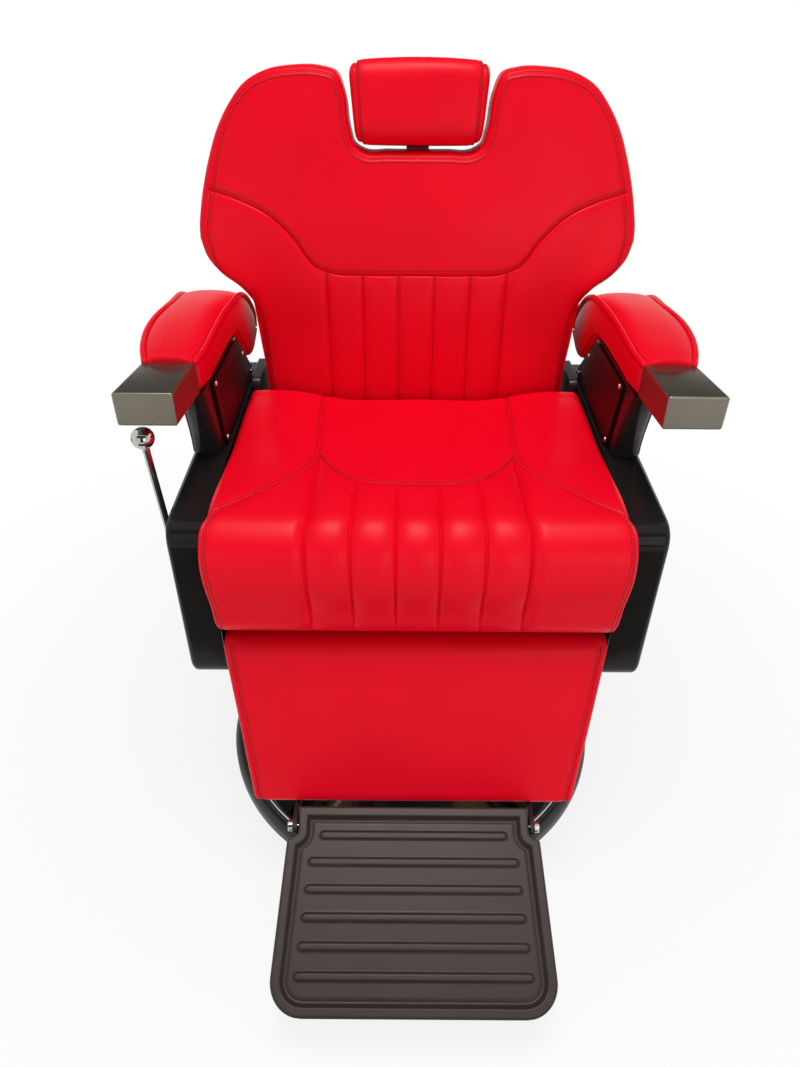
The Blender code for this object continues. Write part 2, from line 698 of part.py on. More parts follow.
def build_seat_frame():
    """Swivel hub, mounting plate with its crossbars, two rails and the two shafts."""
    bore = RAM_NECK_RADIUS + CLEAR
    bore_top = hub_foot + RAM_NECK_HEIGHT + CLEAR
    hub = [(0, hub_top), (HUB_RADIUS, hub_top), (HUB_RADIUS, hub_foot), (bore, hub_foot),
           (bore, bore_top), (0, bore_top)]
    add_turned("swivel_hub", hub, "black_steel", swivel_axis)

    half = MOUNT_PLATE_SIZE / 2
    plate = add_piece("mount_frame", box_mesh((-half, -half, mount_foot), (half, half, rail_foot)),
                      "black_steel", swivel_axis)
    reach = rail_in - CLEAR
    for name, middle in (("front", -CROSS_OFFSET), ("rear", CROSS_OFFSET)):
        low = (-reach, middle - CROSS_WIDTH / 2, rail_foot - WELD)
        bar = box_mesh(low, (reach, middle + CROSS_WIDTH / 2, rail_top))
        combine(plate, "UNION", add_tool(f"crossbar_{name}", bar, swivel_axis))

    outline = link_outline((leg_y, rail_mid), (back_y, rail_mid), RAIL_HEIGHT / 2)
    for side, sign in SIDES:
        low, high = sorted((sign * rail_in, sign * rail_out))
        rail = add_piece(f"rail_{side}", outline_mesh(outline, low, high), "black_steel", swivel_axis)
        bars = [((sign * (rail_in - RAIL_WIDTH), y, rail_mid), (sign * (rail_out + RAIL_WIDTH), y, rail_mid))
                for y in (leg_y, back_y)]
        holes = rods_mesh(bars, SHAFT_RADIUS + CLEAR)
        combine(rail, "DIFFERENCE", add_tool(f"rail_holes_{side}", holes, swivel_axis))
        if side == "right":
            spindle = rod_mesh((-rail_in + RAIL_WIDTH, lever_y, rail_mid),
                               (-rail_out - RAIL_WIDTH, lever_y, rail_mid), LEVER_SPINDLE_RADIUS + RUN)
            combine(rail, "DIFFERENCE", add_tool("rail_spindle_hole", spindle, swivel_axis))

    for name, y in (("leg_rest_shaft", leg_y), ("recline_shaft", back_y)):
        shaft = rod_mesh((-rail_out, y, rail_mid), (rail_out, y, rail_mid), SHAFT_RADIUS)
        add_piece(name, shaft, "steel", swivel_axis)


def seat_ring(x):
    """The seat's side view at x: underside, lip, front, nose, top and rear, as points of (x, y, z)."""
    edge = edge_drop(seat_half - abs(x), SEAT_EDGE_RADIUS)
    crown = SEAT_CROWN * (1 - (x / seat_half) ** 2) - edge
    side = np.clip((abs(x) - SEAT_BOLSTER_X) / SEAT_BOLSTER_RUN, 0.0, 1.0)
    bolster = SEAT_BOLSTER * side ** 2 * (3 - 2 * side)
    nose_top = seat_foot + SEAT_FRONT_HEIGHT
    rear_top = seat_foot + SEAT_REAR_HEIGHT
    lip = seat_foot + SEAT_LIP_RISE
    lip_y = SEAT_FRONT_Y + SEAT_LIP_DEPTH
    sink = channel_sink(x)
    front = SEAT_FRONT_Y + edge
    radius = SEAT_NOSE_RADIUS
    reach = min(1.0, abs(x) / (CHANNEL_COUNT * CHANNEL_PITCH / 2))
    arc_y = SEAT_ARC_FRONT_Y + (SEAT_ARC_SIDE_Y - SEAT_ARC_FRONT_Y) * reach ** 3
    points = [(SEAT_REAR_Y - edge, seat_foot + edge), (lip_y + SEAT_LIP_SLOPE, seat_foot + edge),
              (lip_y, lip + edge)]
    corner = (front + SEAT_LIP_RADIUS, lip + edge + SEAT_LIP_RADIUS)
    for share, (y, z) in enumerate(arc(corner, SEAT_LIP_RADIUS, 270, 180, 3)):
        points.append((y + sink * share / 2, z))
    corner = (front + radius, nose_top + crown - radius)
    for y, z in arc(corner, radius, 180, 90, 5):
        lean = math.atan2(z - corner[1], y - corner[0])
        points.append((y - sink * math.cos(lean), z - sink * math.sin(lean)))
    for y in np.linspace(front + radius, SEAT_REAR_Y - SEAT_REAR_RADIUS, 9)[1:]:
        slope = (y - SEAT_FRONT_Y - radius) / (SEAT_REAR_Y - SEAT_FRONT_Y - radius)
        fade = np.clip((arc_y - y) / SEAT_ARC_FADE, 0.0, 1.0)
        rise = (rear_top - nose_top) * slope + bolster * slope ** 2
        points.append((y, nose_top + rise + crown - sink * fade))
    corner = (SEAT_REAR_Y - edge - SEAT_REAR_RADIUS, rear_top + crown + bolster - SEAT_REAR_RADIUS)
    points += arc(corner, SEAT_REAR_RADIUS, 45, 0, 2)
    at_side = abs(x) > seat_half - SEAT_EDGE_RADIUS / 2
    waist = SEAT_WAIST * math.copysign(at_side, x)
    level = [np.clip((z - lip) / (nose_top - lip), 0, 1) for _, z in points]
    return [(x - waist * math.sin(math.pi * r), y, z) for r, (y, z) in zip(level, points)]


def build_seat():
    """Plywood seat board and the channelled seat cushion."""
    half = seat_half - SEAT_BOARD_MARGIN
    low = (-half, SEAT_FRONT_Y + SEAT_LIP_DEPTH + SEAT_LIP_SLOPE + CLEAR, board_foot)
    high = (half, SEAT_REAR_Y - SEAT_BOARD_MARGIN, board_foot + SEAT_BOARD_THICK)
    add_piece("seat_board", box_mesh(low, high), "plywood", swivel_axis)
    side = CHANNEL_COUNT * CHANNEL_PITCH / 2
    places = channel_places() + [(side + seat_half) / 2, seat_half - SEAT_EDGE_RADIUS]
    places += [seat_half - SEAT_EDGE_RADIUS * k for k in (0.5, 0.2, 0.0)]
    rings = [seat_ring(x) for x in mirrored(places)]
    add_piece("seat_cushion", loft_mesh(rings), "red_leather", swivel_axis)


def build_covers():
    """Gloss black side covers: trays open towards the frame, with two screw bosses each."""
    for side, sign in SIDES:
        low_x, high_x = sorted((sign * cover_in, sign * cover_out))
        shell = box_mesh((low_x, cover_front, cover_foot), (high_x, cover_rear, cover_top), COVER_ROUND)
        cover = add_piece(f"side_cover_{side}", shell, "gloss_black", swivel_axis)
        bm = bmesh.new()
        bm.from_mesh(cover.data)
        for vertex in bm.verts:
            if abs(vertex.co.x) < cover_in + COVER_ROUND + CLEAR:
                vertex.co.x = sign * max(cover_in, abs(vertex.co.x) - COVER_ROUND)
        bm.to_mesh(cover.data)
        bm.free()
        wall = COVER_WALL + COVER_ROUND / 2
        inner = sign * (cover_out - COVER_WALL)
        outer = sign * (cover_in - COVER_WIDTH)
        low_x, high_x = sorted((inner, outer))
        hollow = box_mesh((low_x, cover_front + wall, cover_foot + wall),
                          (high_x, cover_rear - wall, cover_top - wall))
        combine(cover, "DIFFERENCE", add_tool(f"cover_hollow_{side}", hollow, swivel_axis))
        for name, y in (("front", cover_front + COVER_BOSS_INSET), ("rear", cover_rear - COVER_BOSS_INSET)):
            boss = rod_mesh((sign * (cover_out - COVER_WALL + WELD), y, rail_mid),
                            (sign * (rail_out + CLEAR), y, rail_mid), COVER_BOSS_RADIUS)
            combine(cover, "UNION", add_tool(f"cover_boss_{name}_{side}", boss, swivel_axis))
        if side == "right":
            hole = rod_mesh((-cover_in, lever_y, rail_mid), (-cover_out - COVER_WIDTH, lever_y, rail_mid),
                            LEVER_SPINDLE_RADIUS + RUN)
            combine(cover, "DIFFERENCE", add_tool("cover_spindle_hole", hole, swivel_axis))


def pad_rows():
    """Sections of an arm pad from the cap to the end of its rear drop.

    Each row is the top edge (y, z), the under edge (y, z), and the inner and outer side (x).
    """
    front = cap_rear + CLEAR
    foot = cap_foot + PAD_FOOT_RISE
    top = cap_foot + CAP_HEIGHT + PAD_TOP_RISE
    wide = pad_in + PAD_WIDTH
    return [(front + a, top + b, front + c, foot + d, pad_in + e, wide + f) for a, b, c, d, e, f in PAD_TABLE]


def pad_ring(row, sign):
    """A rounded section between an arm pad's top and under edges, plumper on top."""
    top = np.array(row[0:2])
    under = np.array(row[2:4])
    inner, outer = row[4], row[5]
    half_x = (outer - inner) / 2
    half_t = np.linalg.norm(top - under) / 2
    up = (top - under) / (2 * half_t)
    middle = (top + under) / 2
    ring = []
    for a, b in rounded_rectangle(half_x, half_t, PAD_EDGE_RADIUS):
        plump = PAD_PLUMP * max(0.0, 1 - (a / half_x) ** 2) if b > 0 else 0.0
        y, z = middle + up * (b + plump)
        ring.append((sign * ((inner + outer) / 2 + a), y, z))
    return ring


def build_arms():
    """Each arm: inner bracket, moulded support, ribbed panel with four screws, pad and metal cap."""
    rows = smooth_rows(pad_rows(), PAD_SECTIONS)
    for side, sign in SIDES:
        low_x, high_x = sorted((sign * (rail_out + CLEAR), sign * (rail_out + CLEAR + ARM_BRACKET_THICK)))
        middle = (ARM_SUPPORT_FOOT_Y + ARM_SUPPORT_REAR_Y) / 2
        top = cover_top - COVER_WALL - COVER_ROUND / 2 - CLEAR
        bracket = box_mesh((low_x, middle - ARM_BRACKET_LENGTH / 2, rail_foot),
                           (high_x, middle + ARM_BRACKET_LENGTH / 2, top))
        add_piece(f"arm_bracket_{side}", bracket, "black_steel", swivel_axis)

        ring_rows = [pad_ring(row, sign) for row in rows]
        add_piece(f"arm_pad_{side}", loft_mesh(ring_rows), "red_leather", swivel_axis)

        foot = cover_top + CLEAR
        head = cap_foot - PAD_SEATING
        under = [(y - PAD_SEATING, z - PAD_SEATING) for y, z in rows[1:, 2:4]]
        lean = (ARM_SUPPORT_FOOT_Y - ARM_SUPPORT_TOP_Y) / 3
        rise = (head - foot) / 3
        front = smooth_rows([(ARM_SUPPORT_TOP_Y, head),
                             (ARM_SUPPORT_TOP_Y + lean - ARM_SUPPORT_SWEEP, head - rise),
                             (ARM_SUPPORT_FOOT_Y - lean + ARM_SUPPORT_SWEEP, foot + rise),
                             (ARM_SUPPORT_FOOT_Y, foot)], 7)
        outline = [*map(tuple, front), (ARM_SUPPORT_REAR_Y, foot), *under[::-1]]
        low_x, high_x = sorted((sign * support_in, sign * cover_out))
        support = add_piece(f"arm_support_{side}", outline_mesh(outline, low_x, high_x), "gloss_black",
                            swivel_axis)

        panel_low = foot + PANEL_FOOT_RISE
        panel_high = cap_foot - PANEL_HEAD_DROP
        corners = [(PANEL_FRONT_FOOT_Y, panel_low), (PANEL_REAR_FOOT_Y, panel_low),
                   (PANEL_REAR_TOP_Y, panel_high - PANEL_REAR_FALL),
                   (PANEL_SHOULDER_Y, panel_high - PANEL_SHOULDER_FALL), (PANEL_FRONT_TOP_Y, panel_high)]
        low_x, high_x = sorted((sign * panel_in, sign * panel_out))
        panel = add_piece(f"arm_panel_{side}", outline_mesh(corners, low_x, high_x), "maroon_black",
                          swivel_axis)

        inset = SCREW_INSET
        spots = [(corners[0][0] + inset / 2, corners[0][1] + inset / 2),
                 (corners[1][0] - inset * 1.4, corners[1][1] + inset / 2),
                 (corners[2][0] - inset, corners[2][1] + inset / 8),
                 (corners[4][0] + inset, corners[4][1] - inset / 2)]
        rear_edge = np.array(corners[1:4]).T
        for k in range(PANEL_RIB_COUNT):
            z = spots[0][1] + inset + k * PANEL_RIB_PITCH
            share = (z - panel_low) / (panel_high - panel_low)
            front_y = corners[0][0] + (corners[4][0] - corners[0][0]) * share + inset
            rear_y = np.interp(z, rear_edge[1], rear_edge[0]) - inset * 2
            low_x, high_x = sorted((sign * (panel_in + WELD / 2), sign * (panel_in - PANEL_RIB_RAISE)))
            rib = box_mesh((low_x, front_y, z), (high_x, rear_y, z + PANEL_RIB_HEIGHT))
            combine(panel, "UNION", add_tool(f"panel_rib_{side}_{k + 1}", rib, swivel_axis))

        seat_x = sign * (panel_in - CLEAR)
        tip_x = sign * (panel_in + SCREW_LENGTH)
        bars = [((sign * (panel_in - SCREW_LENGTH), y, z), (tip_x + sign * RUN, y, z)) for y, z in spots]
        bores = rods_mesh(bars, SCREW_RADIUS + RUN)
        tool = add_tool(f"screw_bores_{side}", bores, swivel_axis)
        combine(panel, "DIFFERENCE", tool)
        combine(support, "DIFFERENCE", tool)
        for k, (y, z) in enumerate(spots):
            head_x = sign * (panel_in - CLEAR - SCREW_HEAD_HEIGHT)
            head = rod_mesh((seat_x, y, z), (head_x, y, z), SCREW_HEAD_RADIUS, SCREW_SIDES)
            screw = add_piece(f"panel_screw_{side}_{k + 1}", head, "chrome", swivel_axis)
            shank = rod_mesh((seat_x - sign * WELD / 2, y, z), (tip_x, y, z), SCREW_RADIUS, SHANK_SIDES)
            combine(screw, "UNION", add_tool(f"screw_shank_{side}_{k + 1}", shank, swivel_axis))

        rear_in = pad_in + CAP_REAR_INSET
        rings = []
        for y, inner, width in ((cap_rear, rear_in, CAP_REAR_WIDTH),
                                (CAP_FRONT_Y, rear_in + CAP_SPLAY, CAP_FRONT_WIDTH)):
            corner = [(inner, cap_foot), (inner + width, cap_foot), (inner + width, cap_foot + CAP_HEIGHT),
                      (inner, cap_foot + CAP_HEIGHT)]
            rings.append([(sign * x, y, z) for x, z in corner])
        add_piece(f"arm_cap_{side}", loft_mesh(rings), "brushed_nickel", swivel_axis)


def build_lever():
    """Release lever on the sitter's right: a boss with its spindle and finger, a rod and a ball."""
    boss_in = -(cover_out + CLEAR)
    boss_out = boss_in - LEVER_BOSS_LENGTH
    boss = rod_mesh((boss_out, 0, 0), (boss_in, 0, 0), LEVER_BOSS_RADIUS, BOSS_SIDES)
    hub = add_piece("lever_hub", boss, "chrome", lever_axis, local=True)
    inner_end = LOCK_X + LEVER_FINGER_WIDTH / 2
    spindle = rod_mesh((boss_in - WELD, 0, 0), (inner_end, 0, 0), LEVER_SPINDLE_RADIUS)
    finger_half = LEVER_SPINDLE_RADIUS * 0.8
    finger = box_mesh((LOCK_X - LEVER_FINGER_WIDTH / 2, -finger_half, -LEVER_FINGER_LENGTH),
                      (inner_end - WELD, finger_half, 0))
    combine(hub, "UNION", add_tool("lever_spindle", spindle, lever_axis, local=True),
            add_tool("lever_finger", finger, lever_axis, local=True))
    rod_x = -(cover_out + LEVER_ROD_OFFSET)
    rod = rod_mesh((rod_x, 0, LEVER_BOSS_RADIUS + CLEAR),
                   (rod_x, 0, LEVER_LENGTH - LEVER_BALL_RADIUS - CLEAR), LEVER_ROD_RADIUS)
    add_piece("lever_rod", rod, "chrome", lever_axis, local=True)
    ball = ball_mesh((rod_x, 0, LEVER_LENGTH), LEVER_BALL_RADIUS)
    add_piece("lever_ball", ball, "chrome", lever_axis, local=True)


def build_linkage():
    """Tie rod from the back's crank to the leg rest's crank, and the recline lock with its sliding rod."""
    pin_z = rail_mid + crank_z
    rear = (back_y + crank_y, pin_z)
    front = (leg_y + crank_y, pin_z)
    outline = link_outline(front, rear, TIE_HALF)
    tie = add_piece("tie_rod", outline_mesh(outline, -tie_out, -tie_in), "steel", tie_axis)
    bars = [((-tie_out - TIE_THICK, *spot), (-tie_in + TIE_THICK, *spot)) for spot in (front, rear)]
    eyes = rods_mesh(bars, STUD_RADIUS + RUN)
    combine(tie, "DIFFERENCE", add_tool("tie_eyes", eyes, tie_axis))

    travel = 2 * CRANK_RADIUS * math.sin(crank_swing)
    lug_front = -CROSS_OFFSET - CROSS_WIDTH / 2
    rod_front = lug_front + LOCK_FLOOR + travel + LOCK_ROD_GUIDE / 5
    housing = rod_mesh((LOCK_X, lug_front, pin_z), (LOCK_X, LOCK_REAR_Y, pin_z), LOCK_RADIUS, BOSS_SIDES)
    lock = add_piece("recline_lock", housing, "black_steel", swivel_axis)
    lug_half = LOCK_RADIUS * 0.7
    lug = box_mesh((LOCK_X - lug_half, lug_front, pin_z),
                   (LOCK_X + lug_half, lug_front + CROSS_WIDTH, rail_foot - WELD - CLEAR))
    bore = rod_mesh((LOCK_X, lug_front + LOCK_FLOOR, pin_z), (LOCK_X, LOCK_REAR_Y + LOCK_FLOOR, pin_z),
                    LOCK_ROD_RADIUS + RUN)
    combine(lock, "UNION", add_tool("lock_lug", lug, swivel_axis))
    combine(lock, "DIFFERENCE", add_tool("lock_bore", bore, swivel_axis))

    yoke_front = rear[0] - YOKE_LENGTH / 2
    slide = rod_mesh((LOCK_X, rod_front, pin_z), (LOCK_X, yoke_front + WELD, pin_z), LOCK_ROD_RADIUS)
    rod = add_piece("recline_lock_rod", slide, "chrome", lock_axis)
    rise = CRANK_RADIUS * (1 - math.cos(crank_swing))
    low_z = pin_z - rise - STUD_RADIUS - YOKE_PLAY - YOKE_WALL / 2
    high_z = pin_z + STUD_RADIUS + YOKE_PLAY + YOKE_WALL / 2
    yoke_side = -(tie_in - TIE_SPACE)
    yoke = box_mesh((yoke_side, yoke_front, low_z),
                    (LOCK_X + LOCK_ROD_RADIUS + WELD, yoke_front + YOKE_LENGTH, high_z))
    slot_half = STUD_RADIUS + YOKE_PLAY
    slot = box_mesh((yoke_side - YOKE_WALL, rear[0] - slot_half, low_z + YOKE_WALL / 2),
                    (yoke_side + YOKE_WALL + CLEAR * 5, rear[0] + slot_half, high_z - YOKE_WALL / 2))
    combine(rod, "UNION", add_tool("lock_yoke", yoke, lock_axis))
    combine(rod, "DIFFERENCE", add_tool("yoke_slot", slot, lock_axis))


def back_face(z):
    """The back's front face at a height: upright, then leaning after a soft bend, as y and 1/cos(lean)."""
    lean = math.radians(BACK_LEAN)
    t = np.clip((z - back_bend) / BACK_BEND_SPAN + 0.5, 0.0, 1.0)
    past = np.maximum(z - back_bend - BACK_BEND_SPAN / 2, 0.0)
    y = back_front + math.tan(lean) * (BACK_BEND_SPAN * t ** 2 / 2 + past)
    return y, 1 + (1 / math.cos(lean) - 1) * t


def back_span(x, inset=0.0):
    """Lowest and highest point of the back's outline at x, drawn in by inset."""
    x = abs(x)
    lower = back_lower_half - inset
    wing = back_wing_half - inset
    notch = NOTCH_WIDTH / 2 - NOTCH_WALL + inset
    mouth = notch + NOTCH_WALL
    peak = back_peak - inset
    if x <= notch:
        high = notch_floor - inset
    elif x < BACK_SHOULDER_X:
        share = max(0.0, (BACK_SHOULDER_X - x) / (BACK_SHOULDER_X - mouth))
        high = peak - NOTCH_LIP * (1 - math.sqrt(max(0.0, 1 - min(share, 1.0) ** 2)))
    else:
        share = min(1.0, (x - BACK_SHOULDER_X) / (wing - BACK_SHOULDER_X))
        high = back_wing + (peak - back_wing) * math.sqrt(1 - share ** 2)
    knee = lower + BACK_FLARE_WIDTH
    knee_z = back_wing - BACK_WING_DROP + inset
    if x <= lower:
        low = back_foot + inset
    elif x <= knee:
        low = knee_z - BACK_FLARE_HEIGHT * (1 - (x - lower) / (knee - lower)) ** 1.6
    else:
        share = min(1.0, (x - knee) / (wing - knee))
        low = back_wing - (back_wing - knee_z) * (1 - share ** 1.6) ** 0.6
    return low, max(high, low + BACK_EDGE_RADIUS / 2)


def yoke_seam(x):
    """Height of the yoke seam: level in the middle, rising in an S towards the wings."""
    share = np.clip((abs(x) - YOKE_SEAM_FLAT) / (back_wing_half - YOKE_SEAM_FLAT), 0, 1)
    return seat_foot + YOKE_SEAM_RISE + YOKE_SEAM_LIFT * (1 - (1 - share) ** 2.2)


def back_ring(x):
    """The back cushion's side view at x: its front from foot to top, then its flat rear down again."""
    low, high = back_span(x)
    seam = float(np.clip(yoke_seam(x), low + (high - low) * 0.3, high - (high - low) * 0.3))
    roll = min(SEAM_HALF, (high - low) * 0.2)
    lower = low + (seam - roll - low) * np.array([0, 0.014, 0.05, 0.35, 0.7, 1.0])
    upper = seam + roll + (high - seam - roll) * np.array([0, 0.35, 0.7, 0.95, 0.986, 1.0])
    heights = np.concatenate([lower, [seam], upper])
    inside_side = np.where(heights < back_wing - BACK_WING_DROP, back_lower_half - abs(x), 1.0)
    inside_notch = np.where(heights > notch_floor, abs(x) - NOTCH_WIDTH / 2 + NOTCH_WALL, 1.0)
    edge = np.minimum.reduce([heights - low, high - heights, np.abs(inside_side), np.abs(inside_notch)])
    edge = np.minimum(edge, max(0.0, back_wing_half - abs(x)))
    y, sec = back_face(heights)
    crown = BACK_CROWN * max(0.0, 1 - (x / back_wing_half) ** 2)
    sink = edge_drop(edge, BACK_EDGE_RADIUS) + SEAM_DEPTH * (heights == seam)
    sink = sink + channel_sink(x) * np.clip((seam - heights) / SEAM_HALF, 0, 1)
    front = [(x, a, b) for a, b in zip(y + (sink + BACK_CROWN - crown) * sec, heights)]
    rear_heights = np.linspace(high, low, 6)
    y, sec = back_face(rear_heights)
    return front + [(x, a, b) for a, b in zip(y + (BACK_THICK + BACK_BOARD_THICK) * sec, rear_heights)]


def back_slab(near, far):
    """A slab that follows the back's side view between two depths behind its front face."""
    bend = np.linspace(back_bend - BACK_BEND_SPAN / 2, back_bend + BACK_BEND_SPAN / 2, 5)
    heights = np.concatenate([[back_foot - BACK_EDGE_RADIUS], bend, [back_peak + BACK_EDGE_RADIUS]])
    y, sec = back_face(heights)
    points = list(zip(y + near * sec, heights)) + list(zip(y + far * sec, heights))[::-1]
    return outline_mesh(points, -BACK_WING_WIDTH, BACK_WING_WIDTH)


def back_places(inset=0.0):
    """Places across the back past its channels, where the outline turns."""
    notch = NOTCH_WIDTH / 2 - NOTCH_WALL + inset
    lower = back_lower_half - inset
    knee = lower + BACK_FLARE_WIDTH
    wing = back_wing_half - inset
    places = [notch, notch + 0.002, notch + NOTCH_WALL, notch + NOTCH_WALL * 2.2, BACK_SHOULDER_X]
    places += [(BACK_SHOULDER_X + lower) / 2, lower - BACK_EDGE_RADIUS / 2, lower, lower + 0.001]
    places += [(lower + knee) / 2, knee]
    return places + [knee + (wing - knee) * k for k in (0.35, 0.62, 0.82, 0.94, 1.0)]


def build_back():
    """Back brackets, back board and the channelled back cushion."""
    rear_y, _ = back_face(back_foot)
    arm_y = rear_y + board_rear_n + CLEAR + BRACKET_HALF
    arm_low = (arm_y, back_foot - BRACKET_HALF - SHAFT_RADIUS)
    arm_high = (arm_y, rail_mid + BACK_ARM_HEIGHT)
    pivot = (back_y, rail_mid)
    pin = (back_y + crank_y, rail_mid + crank_z)
    for side, sign in SIDES:
        low_x, high_x = sorted((sign * bracket_in, sign * bracket_out))
        hanger = outline_mesh(link_outline(pivot, arm_low, BRACKET_HALF + SHAFT_RADIUS), low_x, high_x)
        upright = outline_mesh(link_outline(arm_low, arm_high, BRACKET_HALF), low_x, high_x)
        bracket = add_piece(f"back_bracket_{side}", upright, "black_steel", back_axis)
        combine(bracket, "UNION", add_tool(f"back_hanger_{side}", hanger, back_axis))
        if side == "right":
            crank = outline_mesh(link_outline(pivot, pin, BRACKET_HALF), low_x, high_x)
            stud = rod_mesh((low_x + WELD, *pin), (-(tie_in - TIE_SPACE) + YOKE_WALL, *pin), STUD_RADIUS)
            combine(bracket, "UNION", add_tool("back_crank", crank, back_axis),
                    add_tool("back_stud", stud, back_axis))
        hole = rod_mesh((low_x - BRACKET_THICK, *pivot), (high_x + BRACKET_THICK, *pivot), SHAFT_RADIUS + RUN)
        combine(bracket, "DIFFERENCE", add_tool(f"back_pivot_hole_{side}", hole, back_axis))

    spans = [(x, *back_span(x, BACK_BOARD_INSET)) for x in mirrored(back_places(BACK_BOARD_INSET))]
    outline = [(x, low) for x, low, _ in spans] + [(x, high) for x, _, high in spans[::-1]]
    board = add_piece("back_board", outline_mesh(outline, back_front, back_front + BACK_HEIGHT, "XZ"),
                      "satin_black", back_axis)
    slab = back_slab(BACK_THICK + CLEAR, board_rear_n)
    combine(board, "INTERSECT", add_tool("back_board_slab", slab, back_axis))

    side = CHANNEL_COUNT * CHANNEL_PITCH / 2
    shoulder = CHANNEL_PITCH * CHANNEL_SHOULDER
    places = [p for p in channel_places() if p < side - CHANNEL_PITCH + 2 * shoulder]
    places += [side - CHANNEL_PITCH / 2, side - shoulder, side, side + shoulder]
    rings = [back_ring(x) for x in mirrored(places + back_places())]
    cushion = add_piece("back_cushion", loft_mesh(rings), "red_leather", back_axis)
    rear = back_slab(BACK_THICK, BACK_HEIGHT)
    combine(cushion, "DIFFERENCE", add_tool("back_cushion_rear", rear, back_axis))


def notch_level():
    """The notch floor's height along the lean, from the bend."""
    return (notch_floor - back_bend) / math.cos(math.radians(BACK_LEAN))


def build_headrest():
    """Sleeve on the back board, and the sliding headrest: post, board and pad. Built along the lean."""
    sleeve_top = notch_level() - SLEEVE_BELOW_NOTCH
    sleeve_low = sleeve_top - SLEEVE_LENGTH
    sleeve_front = board_rear_n + CLEAR
    post_front = sleeve_front + SLEEVE_WALL
    post_rear = post_front + POST_THICK
    half = POST_WIDTH / 2
    outer = half + CLEAR + SLEEVE_WALL
    sleeve = add_piece("headrest_sleeve", box_mesh((-outer, sleeve_front, sleeve_low),
                                                   (outer, post_rear + SLEEVE_WALL, sleeve_top)),
                       "black_steel", lean_axis, local=True)
    slot = box_mesh((-half - CLEAR, post_front - CLEAR, sleeve_low - SLEEVE_WALL),
                    (half + CLEAR, post_rear + CLEAR, sleeve_top + SLEEVE_WALL))
    combine(sleeve, "DIFFERENCE", add_tool("sleeve_slot", slot, lean_axis, local=True))

    pad_low = notch_level() + HEADREST_FLOAT
    pad_high = pad_low + HEADREST_HEIGHT
    middle = (pad_low + pad_high) / 2
    board_rear = post_front - CLEAR
    board_front = board_rear - HEADREST_BOARD_THICK
    board_half = HEADREST_BOARD_WIDTH / 2
    board = box_mesh((-board_half, board_front, middle - HEADREST_BOARD_HEIGHT / 2),
                     (board_half, board_rear, middle + HEADREST_BOARD_HEIGHT / 2))
    add_piece("headrest_board", board, "satin_black", headrest_axis, local=True)
    post_low = sleeve_top - HEADREST_TRAVEL - POST_ENGAGED
    post = box_mesh((-half, post_front, post_low), (half, post_rear, middle + HEADREST_BOARD_HEIGHT / 3))
    add_piece("headrest_post", post, "chrome", headrest_axis, local=True)

    front = board_front - CLEAR - HEADREST_THICK
    half_x = NOTCH_WIDTH / 2 - HEADREST_SIDE_GAP
    half_n = HEADREST_THICK / 2
    rings = []
    for x in (-1.0, -0.97, -0.90, -0.5, 0.0, 0.5, 0.90, 0.97, 1.0):
        squeeze = 1 - HEADREST_END_SQUEEZE * abs(x) ** HEADREST_END_POWER
        half_s = HEADREST_HEIGHT / 2
        ring = []
        for n, s in rounded_rectangle(half_n * squeeze, half_s * squeeze, HEADREST_ROUND * squeeze, 4):
            width = half_x - HEADREST_TAPER * (0.5 - s / HEADREST_HEIGHT)
            ring.append((x * width, front + half_n + n, middle + s))
        rings.append(ring)
    add_piece("headrest_pad", loft_mesh(rings), "red_leather", headrest_axis, local=True)


